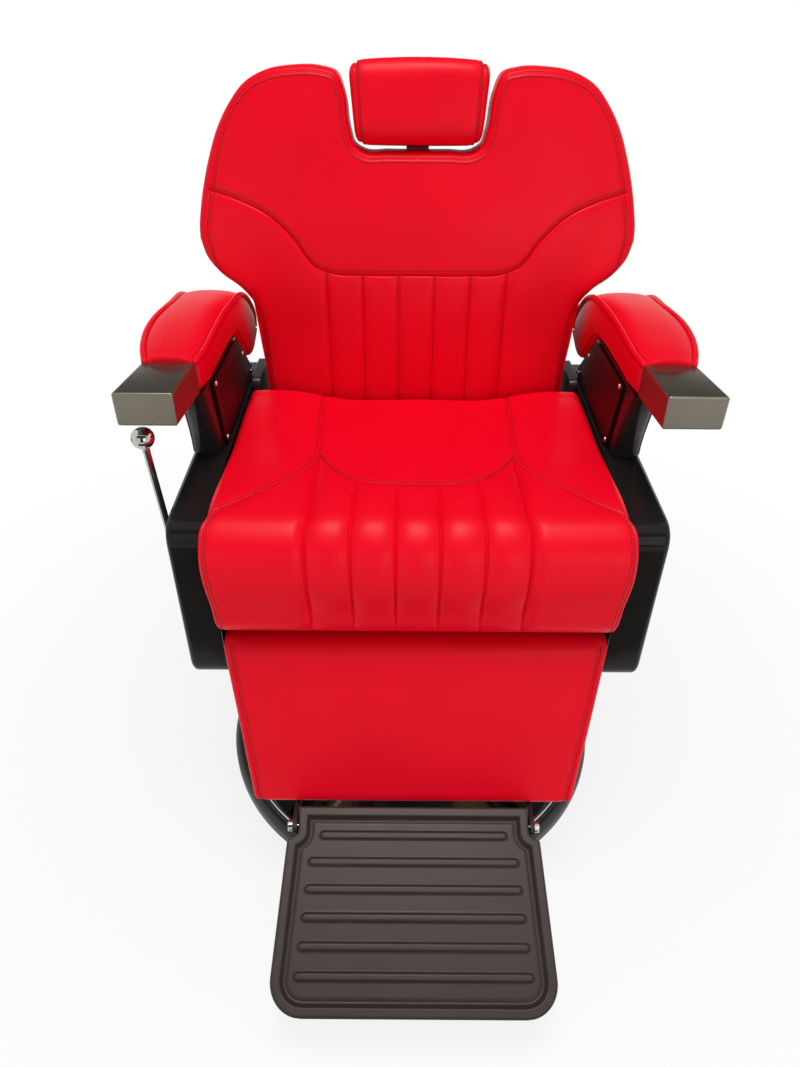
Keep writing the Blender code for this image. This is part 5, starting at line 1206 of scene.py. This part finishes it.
def offset(outline, inset):
    """A closed outline drawn in by inset along its corners' bisectors."""
    before = outline - np.roll(outline, 1, 0)
    after = np.roll(outline, -1, 0) - outline
    first = np.stack([before[:, 1], -before[:, 0]], -1) / np.linalg.norm(before, axis=1)[:, None]
    second = np.stack([after[:, 1], -after[:, 0]], -1) / np.linalg.norm(after, axis=1)[:, None]
    bisector = (first + second) / np.maximum(1 + (first * second).sum(1), 0.3)[:, None]
    area = np.sum(outline[:, 0] * np.roll(outline[:, 1], -1) - outline[:, 1] * np.roll(outline[:, 0], -1))
    return outline - bisector * inset * math.copysign(1.0, area)


def side_rings(levels):
    """Rings of points from (x, outline) pairs: each (y, z) outline at its own x."""
    return np.array([np.column_stack([np.full(len(flat), x), flat]) for x, flat in levels])


def rounded_slab(name, outline, low, high, low_round, high_round, material, body):
    """A plate of a (y, z) outline between two x levels, with its rims rounded by quarter circles."""
    turn = np.linspace(0, np.pi / 2, 7)
    levels = []
    for radius, x, sign in ((low_round, low, 1), (high_round, high, -1)):
        levels += [(x + sign * radius * (1 - math.cos(a)), offset(outline, radius * (1 - math.sin(a))))
                   for a in turn[::sign]]
    return slab(name, side_rings(levels), material, body, sharp=40)


class CHAIR_OT_mouldings(bpy.types.Operator):
    """Builds the gloss black side covers, arm supports and ribbed arm panels with their screws"""

    bl_idname = "chair.mouldings"
    bl_label = "Mouldings"

    def execute(self, context):
        for side, sign in SIDES:
            self.cover(side, sign)
            self.liner(side, sign)
            self.support(side, sign)
            self.panel(side, sign)
        return {"FINISHED"}

    def cover(self, side, sign):
        """A side cover: an open tray in side view with large front corners and a rounded outer rim."""
        low, high = corners_of(f"side_cover_{side}")
        near, far = near_and_far(f"side_cover_{side}", sign)
        front, foot = low[1] - 0.010, low[2] - 0.006
        corners = [(front, foot), (high[1], foot), (high[1], high[2]), (front, high[2])]
        outline = round_corners(corners, (0.036, 0.013, 0.013, 0.038), 13)
        inner = offset(outline, 0.004)
        rim = 0.0095
        levels = [(far - sign * rim * (1 - math.sin(a)), offset(outline, rim * (1 - math.cos(a))))
                  for a in np.linspace(np.pi / 2, 0, 9)]
        levels += [(near + sign * 0.0006, outline), (near, offset(outline, 0.0006)), (near, inner)]
        levels += [(far - sign * 0.010, inner), (far - sign * 0.004, offset(outline, 0.0105))]
        cover = slab(f"cover_shell_{side}", side_rings(levels), "gloss_black", "chair", sharp=40)
        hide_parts(f"side_cover_{side}")

    def liner(self, side, sign):
        """Black filler between a cover and the back's edge, behind the seat.

        A rounded oblong in side view, drawn in a little along its inner face.
        """
        near = near_and_far(f"arm_bracket_{side}", sign)[0]
        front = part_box("seat_cushion")[1][1] + 0.008
        rear = front + 0.094
        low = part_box(f"rail_{side}")[1][2] + 0.006
        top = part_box(f"side_cover_{side}")[1][2] + 0.010
        outline = round_corners([(front, low), (rear, low), (rear, top), (front, top)], 0.012, 8)
        steps = ((0.0003, 0.0006), (0.0009, 0.0), (0.0120, 0.0), (0.0142, 0.0008), (0.0150, 0.0030),
                 (0.0150, 0.0045))
        levels = [(near - sign * depth, offset(outline, inset)) for depth, inset in steps]
        liner = slab(f"cover_liner_{side}", side_rings(levels), "satin_black", "chair", sharp=40)

    def support(self, side, sign):
        """The curved support under an arm pad: level sections with round corners, carried up its height.

        Each section runs from the inner face to the outer face; its front follows an S and its rear the pad.
        """
        low, high = corners_of(f"arm_support_{side}")
        inner, outer = np.abs(near_and_far(f"arm_support_{side}", sign))
        level = np.concatenate([low[2] + np.array([0, 0.0008, 0.004]), np.linspace(low[2] + 0.012, 0.790, 16),
                                [0.7935, 0.7970, 0.8000, 0.8016]])
        share = np.clip((level - low[2]) / (high[2] - low[2]), 0, 1)
        front = np.interp(level, [low[2], 0.692, 0.715, 0.745, 0.775, 0.803],
                          [-0.0645, -0.0665, -0.0745, -0.0905, -0.1065, -0.1175])
        rear = np.interp(level, [low[2], 0.7085, 0.7295, 0.7590, 0.7870, 0.7940, 0.7975, 0.8000, 0.8016],
                         [0.228, 0.2030, 0.1835, 0.1540, 0.1200, 0.0725, 0.0230, -0.036, -0.056])
        wide = outer - 0.0075 * smooth(0.0, 1.0, share)
        turn = np.linspace(0, np.pi / 2, 8)
        rings = []
        for z, y_front, y_rear, x_out in zip(level, front, rear, wide):
            ease = 0.0008 if z == level[0] else 0.0
            corners = ((inner + ease, 1, y_front + ease, 1, 0.011, np.pi),
                       (x_out - ease, -1, y_front + ease, 1, 0.021, -np.pi / 2),
                       (x_out - ease, -1, y_rear - ease, -1, 0.005, 0.0),
                       (inner + ease, 1, y_rear - ease, -1, 0.003, np.pi / 2))
            arcs = [np.stack([x + radius * (way_x + np.cos(start + turn)),
                              y + radius * (way_y + np.sin(start + turn))], -1)
                    for x, way_x, y, way_y, radius, start in corners]
            flat = np.concatenate(arcs)
            rings.append(np.column_stack([sign * flat[:, 0], flat[:, 1], np.full(len(flat), z)]))
        post = slab(f"arm_post_{side}", rings, "gloss_black", "chair", sharp=50)
        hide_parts(f"arm_support_{side}")

    def panel(self, side, sign):
        """The ribbed panel on an arm's inner face, its ribs and dots, and its four screws."""
        low, high = corners_of(f"arm_panel_{side}")
        face, back = near_and_far(f"arm_panel_{side}", sign)
        skin = face + sign * 0.0018
        front, lean, margin = -0.034, 0.032, 0.022
        corners = np.array([(front, low[2]), (0.226, low[2]), (0.163, high[2] - 0.052),
                            (0.110, high[2] - 0.010), (front - lean, high[2])])
        outline = round_corners(corners, 0.007)
        x_low, x_high = sorted((skin, back))
        rounds = (0.0012, 0.0002) if sign > 0 else (0.0002, 0.0012)
        # The plate and its ribs are tinted maroon as painted reflection of the red upholstery.
        plate = rounded_slab(f"arm_panel_plate_{side}", outline, x_low, x_high, *rounds,
                             "maroon_black", "chair")
        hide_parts(f"arm_panel_{side}")
        first, pitch, radius, sunk = 0.0205, 0.0128, 0.0028, 0.0020
        for k in range(6):
            z = low[2] + first + k * pitch
            share = (z - low[2]) / (high[2] - low[2])
            start = front - lean * share + margin
            end = np.interp(z, corners[1:4, 1], corners[1:4, 0]) - margin
            y = np.linspace(start, end, 40)
            path = np.column_stack([np.full(len(y), skin + sign * sunk), y, np.full(len(y), z)])
            rib = tube(f"arm_panel_rib_{side}_{k + 1}", path, radius, "maroon_black", "chair", 16)
            stud = np.array([skin - sign * 0.0002, start - 0.009, z])
            self.dome(f"arm_panel_dot_{side}_{k + 1}", stud, 0.0012, 0.0007, sign, "satin_black", False)
        for k in range(4):
            spot = corners_of(f"panel_screw_{side}_{k + 1}").mean(0)
            spot[0] = skin
            screw = self.dome(f"arm_screw_{side}_{k + 1}", spot, 0.0046, 0.0028, sign, "chrome", True)
            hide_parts(f"panel_screw_{side}_{k + 1}")

    def dome(self, name, spot, radius, rise, sign, material, slot):
        """A domed head on the panel: half an ellipse turned about X, with a dimple where slot is set."""
        angle = np.linspace(np.pi / 2, 0, 9)
        profile = np.stack([radius * np.cos(angle), rise * np.sin(angle)], -1)
        if slot:
            profile[0, 1] -= rise * 0.35
            profile[1, 1] -= rise * 0.25
        profile[0, 0] = 0
        sunk = -0.0006
        profile = np.concatenate([profile, [(radius, sunk), (0, sunk)]])

        def place(points):
            """Points turned about Z, laid along X at the head's place."""
            return spot + np.stack([-sign * points[:, 2], points[:, 0], points[:, 1]], -1)

        head = turned(name, profile, material, "chair", place, 24)
        return head


class CHAIR_OT_arm_caps(bpy.types.Operator):
    """Builds the brushed metal arm caps"""

    bl_idname = "chair.arm_caps"
    bl_label = "Arm caps"

    def execute(self, context):
        for side, sign in SIDES:
            # Oblongs at the front and the rear, with rims rounded by quarter circles, and a taper between.
            low, high = corners_of(f"arm_cap_{side}")
            inner, outer = near_and_far(f"arm_cap_{side}", sign)
            front, rear = low[1], high[1]
            turn = np.linspace(0, np.pi / 2, 6)
            rings = []
            for radius, y, way in ((0.0020, front, 1), (0.0006, rear, -1)):
                share = (y - front) / (rear - front)
                x_in = inner + sign * 0.009 * (1 - share)
                x_out = outer - sign * 0.014 * share
                corners = [(x_in, low[2]), (x_out, low[2]), (x_out, high[2]), (x_in, high[2])]
                steps = [(radius + 0.0015, 0.0)]
                steps += [(radius * (1 - math.sin(a)), radius * (1 - math.cos(a))) for a in turn]
                oblong = round_corners(corners, 0.0040, 6)
                drawn = [(offset(oblong, inset), depth) for inset, depth in steps]
                middle = np.array(corners).mean(0)
                drawn.insert(0, (middle + (oblong - middle) * 0.02, 0.0))
                for flat, depth in drawn[::way]:
                    rings.append(np.stack([flat[:, 0], np.full(len(flat), y + way * depth), flat[:, 1]], -1))
            cap = slab(f"arm_cap_block_{side}", rings, "brushed_nickel", "chair", sharp=40)
            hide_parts(f"arm_cap_{side}")
        return {"FINISHED"}


def foot_place(points):
    """Points of the footplate's own plane brought to the chair."""
    points = np.asarray(points, float)
    x, y, z = points[..., 0], points[..., 1], points[..., 2]
    c, t = math.cos(FOOT_SLOPE), math.sin(FOOT_SLOPE)
    return np.stack([x, FOOT_PIVOT[0] + y * c - z * t, FOOT_PIVOT[1] + y * t + z * c], -1)


def foot_half_width(y):
    """Half the footplate's width at y: a tongue, a notch, widening sides and round front corners."""
    sides = np.interp(y, [FOOT_FRONT, -0.022], [0.205, 0.1915])
    step = smooth(-0.023, -0.011, y)
    sides = sides * (1 - step) + 0.176 * step
    return sides - roll(y - FOOT_FRONT, FOOT_CORNER)


def foot_gap(flat, rim):
    """Distance of the footplate's points from its edge, which is the same on both sides."""
    return distance(np.stack([np.abs(flat[..., 0]), flat[..., 1]], -1), rim)


class CHAIR_OT_footplate(bpy.types.Operator):
    """Builds the cast footplate with its rim, groove and ribs"""

    bl_idname = "chair.footplate"
    bl_label = "Footplate"

    def execute(self, context):
        # Height over the plate's plane: a rolled edge, a rim, a floor with a groove along it, and cross ribs,
        # each from the distance to the edge or to a rib's line.
        length = FOOT_REAR - FOOT_FRONT
        y = np.sort(np.concatenate([FOOT_FRONT + length * np.sin(np.linspace(0, np.pi / 2, 260)) ** 2,
                                    np.linspace(FOOT_FRONT, FOOT_REAR, 120)]))
        y = y[np.concatenate([[True], np.diff(y) > 0.0002])]
        half = foot_half_width(y)
        u = np.sin(np.linspace(-np.pi / 2, np.pi / 2, 210))
        u = np.sign(u) * np.abs(u) ** 0.85
        x = u[None] * half[:, None]
        flat = np.stack([x, np.broadcast_to(y[:, None], x.shape)], -1)
        side = np.stack([half, y], -1)
        rim = np.concatenate([[(0, y[0])], side, [(0, y[-1])]])
        gap = foot_gap(flat, rim)
        rim_height = 0.010
        floor_drop = 0.0072 * smooth(0.0125, 0.0185, gap)
        groove = 0.0016 * np.exp(-((gap - 0.0205) / 0.0028) ** 2)
        height = rim_height - roll(gap, 0.0045) - floor_drop - groove
        first, pitch = -0.0143, 0.0377
        for k in range(6):
            reach = (0.285 if k == 0 else 0.310 + 0.006 * k) / 2 - 0.0065
            rib_y = first - k * pitch
            rib = np.array([(-reach, rib_y), (reach, rib_y)])
            height = height + sizes().rib_height * smooth(0.0075, 0.0030, distance(flat, rib))
        top = np.concatenate([flat, height[..., None]], -1)
        v = np.linspace(1, -1, 60)
        low_x = v[None] * half[:, None]
        low_flat = np.stack([low_x, np.broadcast_to(y[:, None], low_x.shape)], -1)
        low_gap = foot_gap(low_flat, rim)
        low_height = -0.016 + roll(low_gap, 0.002) + 0.013 * smooth(0.010, 0.014, low_gap)
        base = np.concatenate([low_flat, low_height[..., None]], -1)
        points = foot_place(np.concatenate([top, base], 1))
        plate = loft("footplate_casting", points, "bronze_coating", "footplate", sharp=50)
        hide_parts("footplate")
        return {"FINISHED"}


class CHAIR_OT_base(bpy.types.Operator):
    """Builds the base's ring and dish, the pump, its gland, the ram and the swivel hub"""

    bl_idname = "chair.base"
    bl_label = "Base and pump"

    def execute(self, context):
        # Each piece is a profile of (radius, height) points turned about the chair's axis.
        radius, _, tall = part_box("base_ring")[1]
        inner = radius - 0.020
        ring = round_corners([(inner, tall * 0.90), (inner + 0.005, tall), (radius - 0.006, tall * 0.97),
                              (radius, tall * 0.72), (radius, tall * 0.1), (radius - 0.002, 0.0),
                              (inner, 0.0)], 0.006)
        self.piece("base_ring_moulding", ring, "satin_black", "base", "base_ring", 192)
        low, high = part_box("base_dish")
        reach = np.linspace(0, 1, 36)
        edge, throat, hole, wall = high[0], 0.077, 0.0653, 0.003
        sweep_r = throat + (edge - 0.004 - throat) * reach
        sweep_z = 0.030 + 0.062 * (1 - reach) ** 2.2
        top = np.column_stack([sweep_r, sweep_z])
        rim = [(edge - 0.0015, 0.0292), (edge, 0.027), (edge, low[2]), (edge - wall, low[2]),
               (edge - wall, 0.026)]
        dish = np.concatenate([[(hole, 0.092), (0.0735, 0.092), (0.0755, 0.0917)], top, rim,
                               (top - (0.0, wall))[-2:0:-4], [(hole, 0.088)]])
        self.piece("base_dish_spinning", dish, "chrome", "base", "base_dish", 192)
        low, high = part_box("pump_cylinder")
        floor, bore = low[2] + 0.012, 0.0363
        pump = [(0, floor), (bore, floor), (bore, high[2]), (high[0] - 0.002, high[2]),
                (high[0], high[2] - 0.002), (high[0], low[2]), (0, low[2])]
        self.piece("pump_tube", pump, "chrome", "base", "pump_cylinder", 96, 30)
        low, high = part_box("pump_gland")
        bore = 0.0364
        gland = round_corners([(bore, high[2]), (high[0] - 0.004, high[2]), (high[0], high[2] - 0.005),
                               (high[0], low[2]), (bore, low[2])], 0.0012)
        self.piece("pump_gland_nut", gland, "satin_black", "base", "pump_gland", 96, 30)
        low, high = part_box("pump_ram")
        neck, neck_r = high[2] - 0.045, 0.028
        ram = [(0, high[2]), (neck_r - 0.0015, high[2]), (neck_r, high[2] - 0.0015), (neck_r, neck),
               (high[0] - 0.001, neck), (high[0], neck - 0.001), (high[0], low[2] + 0.002),
               (high[0] - 0.002, low[2]), (0, low[2])]
        self.piece("pump_ram_bar", ram, "chrome", "ram", "pump_ram", 96, 30)
        low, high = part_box("swivel_hub")
        bore, deep = 0.0284, low[2] + 0.0455
        hub = [(0, high[2]), (high[0] - 0.002, high[2]), (high[0], high[2] - 0.002),
               (high[0], low[2] + 0.002), (high[0] - 0.002, low[2]), (bore, low[2]), (bore, deep), (0, deep)]
        self.piece("swivel_hub_block", hub, "black_steel", "chair", "swivel_hub", 96, 30)
        return {"FINISHED"}

    def piece(self, name, profile, material, body, node, steps, sharp=None):
        """A turned piece that stands for a node."""
        made = turned(name, profile, material, body, None, steps, sharp)
        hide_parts(node)


class CHAIR_OT_lever(bpy.types.Operator):
    """Builds the release lever's ball, rod, boss and finger"""

    bl_idname = "chair.lever"
    bl_label = "Release lever"

    def execute(self, context):
        # A ball and a rod turned about the line from the lever's foot to the ball's centre.
        low, high = corners_of("lever_ball")
        ball, radius = (low + high) / 2, (high[0] - low[0]) / 2
        rod_low, rod_high = corners_of("lever_rod")
        lean_in, rod_radius = 0.011, 0.0052
        foot = np.array([ball[0] + lean_in, rod_high[1] - rod_radius, rod_low[2]])
        lean = ball - foot
        length = np.linalg.norm(lean)
        along = lean / length
        depth = np.cross(along, (1.0, 0.0, 0.0))
        depth = depth / np.linalg.norm(depth)
        side = np.cross(depth, along)

        def place(points):
            """Points along the rod's own axes, brought to the chair."""
            return foot + points[:, :1] * side + points[:, 1:2] * depth + points[:, 2:] * along

        open_angle = 0.36
        angle = np.linspace(np.pi / 2, open_angle - np.pi / 2, 40)
        knob = np.stack([radius * np.cos(angle), length + radius * np.sin(angle)], -1)
        knob[0, 0] = 0.0
        neck = length - radius * math.cos(open_angle)
        knob = np.concatenate([knob, [(0.0, neck)]])
        top = turned("lever_knob", knob, "chrome", "lever", place, 64, 50)
        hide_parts("lever_ball")
        end = neck - 0.0002
        bar = [(0, end), (0.0050, end), (rod_radius, end - 0.004), (0.0048, end - 0.010), (0.0050, 0.010),
               (0.0056, 0.002), (0.0050, 0.0), (0, 0.0)]
        rod = turned("lever_bar", bar, "chrome", "lever", place, 40, 50)
        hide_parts("lever_rod")
        self.hub(foot)
        return {"FINISHED"}

    def hub(self, foot):
        """The lever's boss and spindle, turned about X, with the finger that works the lock."""
        low, high = corners_of("lever_hub")
        inner = -high[0]
        face = -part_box("side_cover_right")[0][0] + 0.0003
        end = -foot[0] + 0.0070
        radius = (high[1] - low[1]) / 2
        centre = np.array([0.0, (low[1] + high[1]) / 2, high[2] - radius])

        def place(points):
            """Points turned about Z, laid along X at the hub's centre."""
            return centre + np.column_stack([-points[:, 2], points[:, 1], points[:, 0]])

        spindle = 0.006
        profile = [(0, end), (radius - 0.002, end), (radius, end - 0.002), (radius, face + 0.001),
                   (radius - 0.001, face), (spindle, face), (spindle, inner), (0, inner)]
        boss = turned("lever_boss", profile, "chrome", "lever", place, 64, 40)
        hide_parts("lever_hub")
        front, rear = centre[1] - 0.0048, centre[1] + 0.0048
        flat = round_corners([(front, low[2]), (rear, low[2]), (rear, centre[2]), (front, centre[2])], 0.001)
        wide, rim = 0.016, 0.0008
        finger = rounded_slab("lever_finger", flat, -inner - wide, -inner, rim, rim, "chrome", "lever")


class CHAIR_OT_frame(bpy.types.Operator):
    """Gives the frame's own pieces their finishes and eased edges"""

    bl_idname = "chair.frame"
    bl_label = "Frame finishes"

    def execute(self, context):
        for entry in frame["record"]["subparts"]:
            node = frame["nodes"][entry["node"]]
            node.data.materials.clear()
            node.data.materials.append(finish(SLOT_FINISH[entry["material_slot"]]))
            weld = node.modifiers.new("weld", "WELD")
            weld.merge_threshold = 0.00001
            ease = node.modifiers.new("ease", "BEVEL")
            ease.width = 0.0008
            ease.segments = 2
            ease.limit_method = "ANGLE"
            ease.angle_limit = math.radians(40)
            ease.harden_normals = False
        return {"FINISHED"}


class CHAIR_OT_stage(bpy.types.Operator):
    """Builds the pale floor, the dark cards, the soft lights and the camera"""

    bl_idname = "chair.stage"
    bl_label = "Stage"

    def execute(self, context):
        scene = context.scene
        scene.view_settings.view_transform = "Standard"
        self.floor()
        self.card("card_behind", 2.6, (1.9, 1.5), (1.2, 4.2))
        self.card("card_rear", 2.6, (0.45, 0.012), (2.2, 0.012))
        self.card("card_before", 3.0, (-2.6, 0.03), (-2.2, 3.3))
        self.card("card_below", 1.0, (-1.40, 0.012), (-0.64, 0.012))
        self.world(scene)
        aim = Vector((0, -0.2, 0.5))
        for name, place, size, power in (("key", (0.9, -2.0, 1.0), 1.2, 8.2),
                                         ("fill", (-1.2, -1.9, 0.9), 1.4, 5.2),
                                         ("top", (0.0, -0.70, 4.2), 1.3, 86.0)):
            lamp = bpy.data.lights.new(name, "AREA")
            lamp.size = size
            lamp.energy = power
            light = bpy.data.objects.new(name, lamp)
            light.location = place
            light.rotation_euler = (Vector(place) - aim).to_track_quat("Z", "Y").to_euler()
            scene.collection.objects.link(light)
        data = bpy.data.cameras.new("camera")
        data.sensor_fit = "HORIZONTAL"
        data.sensor_width = 36.0
        data.lens = 36.0
        camera = bpy.data.objects.new("camera", data)
        camera.location = (-0.0238, -1.0865, 1.29)
        camera.rotation_mode = "ZYX"
        look_down, roll_angle = 36.5, 0.40
        camera.rotation_euler = (math.radians(90 - look_down), 0.0, math.radians(roll_angle))
        scene.collection.objects.link(camera)
        scene.camera = camera
        return {"FINISHED"}

    def floor(self):
        """A wide pale floor that reads white to the camera and keeps a soft shadow."""
        half = 6.0
        corners = [(-half, -half, 0), (half, -half, 0), (half, half, 0), (-half, half, 0)]
        mesh = bpy.data.meshes.new("floor")
        mesh.from_pydata(corners, [], [(0, 1, 2, 3)])
        floor = bpy.data.objects.new("floor", mesh)
        material = bpy.data.materials.new("pale_floor")
        material.use_nodes = True
        tree = material.node_tree
        start = Wire(tree)
        shader = Wire(tree, tree.nodes["Principled BSDF"].outputs[0])
        shader.socket.node.inputs["Base Color"].default_value = (0.86, 0.86, 0.86, 1.0)
        shader.socket.node.inputs["Roughness"].default_value = 0.7
        white = start.node("ShaderNodeEmission", {}, {"Strength": 1.0})
        seen = self.seen(tree)
        place = start.node("ShaderNodeTexCoord", {}, {}, "Object")
        away = start.node("ShaderNodeVectorMath", {"operation": "LENGTH"}, {0: place}, 1)
        fade = start.node("ShaderNodeMapRange", {"interpolation_type": "SMOOTHSTEP"},
                          {"Value": away, "From Min": 0.45, "From Max": 1.5, "To Min": 0.84, "To Max": 1.0})
        mixed = start.node("ShaderNodeMixShader", {}, {0: seen * fade, 1: shader, 2: white})
        tree.links.new(mixed.socket, tree.nodes["Material Output"].inputs["Surface"])
        mesh.materials.append(material)
        bpy.context.scene.collection.objects.link(floor)

    def seen(self, tree):
        """One for rays from the camera, from gloss and through glass, and zero for the rest."""
        path = tree.nodes.new("ShaderNodeLightPath")
        return Wire(tree, path.outputs["Is Camera Ray"]) + Wire(tree, path.outputs["Is Glossy Ray"]) \
            + Wire(tree, path.outputs["Is Transmission Ray"])

    def card(self, name, half, low, high):
        """A dark card between two (y, z) edges that only reflections show, for contrast in metal."""
        mesh = bpy.data.meshes.new(name)
        mesh.from_pydata([(-half, *low), (half, *low), (half, *high), (-half, *high)], [], [(0, 1, 2, 3)])
        card = bpy.data.objects.new(name, mesh)
        material = bpy.data.materials.new(name)
        material.use_nodes = True
        shader = material.node_tree.nodes["Principled BSDF"]
        shader.inputs["Base Color"].default_value = (0.05, 0.05, 0.05, 1.0)
        shader.inputs["Roughness"].default_value = 0.9
        mesh.materials.append(material)
        card.visible_camera = False
        card.visible_diffuse = False
        card.visible_transmission = False
        card.visible_shadow = False
        bpy.context.scene.collection.objects.link(card)

    def world(self, scene):
        """A white surround for the camera and for reflections, with a softer light on the chair."""
        world = bpy.data.worlds.new("surround")
        world.use_nodes = True
        scene.world = world
        tree = world.node_tree
        strength = 0.30 + self.seen(tree) * 0.70
        back = tree.nodes["Background"]
        back.inputs["Color"].default_value = (1.0, 1.0, 1.0, 1.0)
        tree.links.new(strength.socket, back.inputs["Strength"])


class CHAIR_PT_panel(bpy.types.Panel):
    """Lists the chair's pieces, sizes and colours in the sidebar"""

    bl_idname = "CHAIR_PT_panel"
    bl_label = "Barber chair"
    bl_space_type = "VIEW_3D"
    bl_region_type = "UI"
    bl_category = "Chair"

    def draw(self, context):
        for group in (context.scene.chair_sizes, context.scene.chair_colours):
            for key in group.__annotations__:
                self.layout.prop(group, key)
        for operator in OPERATORS:
            self.layout.operator(operator.bl_idname)


OPERATORS = (CHAIR_OT_frame, CHAIR_OT_base, CHAIR_OT_seat, CHAIR_OT_back, CHAIR_OT_headrest,
             CHAIR_OT_arm_pads, CHAIR_OT_arm_caps, CHAIR_OT_mouldings, CHAIR_OT_leg_rest, CHAIR_OT_footplate,
             CHAIR_OT_lever, CHAIR_OT_stage)
CLASSES = (ChairSizes, ChairColours, *OPERATORS, CHAIR_PT_panel)


def register():
    """Registers the classes and hangs the settings on the scene."""
    for entry in CLASSES:
        bpy.utils.register_class(entry)
    bpy.types.Scene.chair_sizes = bpy.props.PointerProperty(type=ChairSizes)
    bpy.types.Scene.chair_colours = bpy.props.PointerProperty(type=ChairColours)


def unregister():
    """Takes the settings and the classes away again."""
    del bpy.types.Scene.chair_colours
    del bpy.types.Scene.chair_sizes
    for entry in reversed(CLASSES):
        bpy.utils.unregister_class(entry)


def main():
    """Builds every piece in order."""
    register()
    bpy.ops.chair.frame()
    bpy.ops.chair.base()
    bpy.ops.chair.seat()
    bpy.ops.chair.back()
    bpy.ops.chair.headrest()
    bpy.ops.chair.arm_pads()
    bpy.ops.chair.arm_caps()
    bpy.ops.chair.mouldings()
    bpy.ops.chair.leg_rest()
    bpy.ops.chair.footplate()
    bpy.ops.chair.lever()
    bpy.ops.chair.stage()


if __name__ == "__main__":
    main()
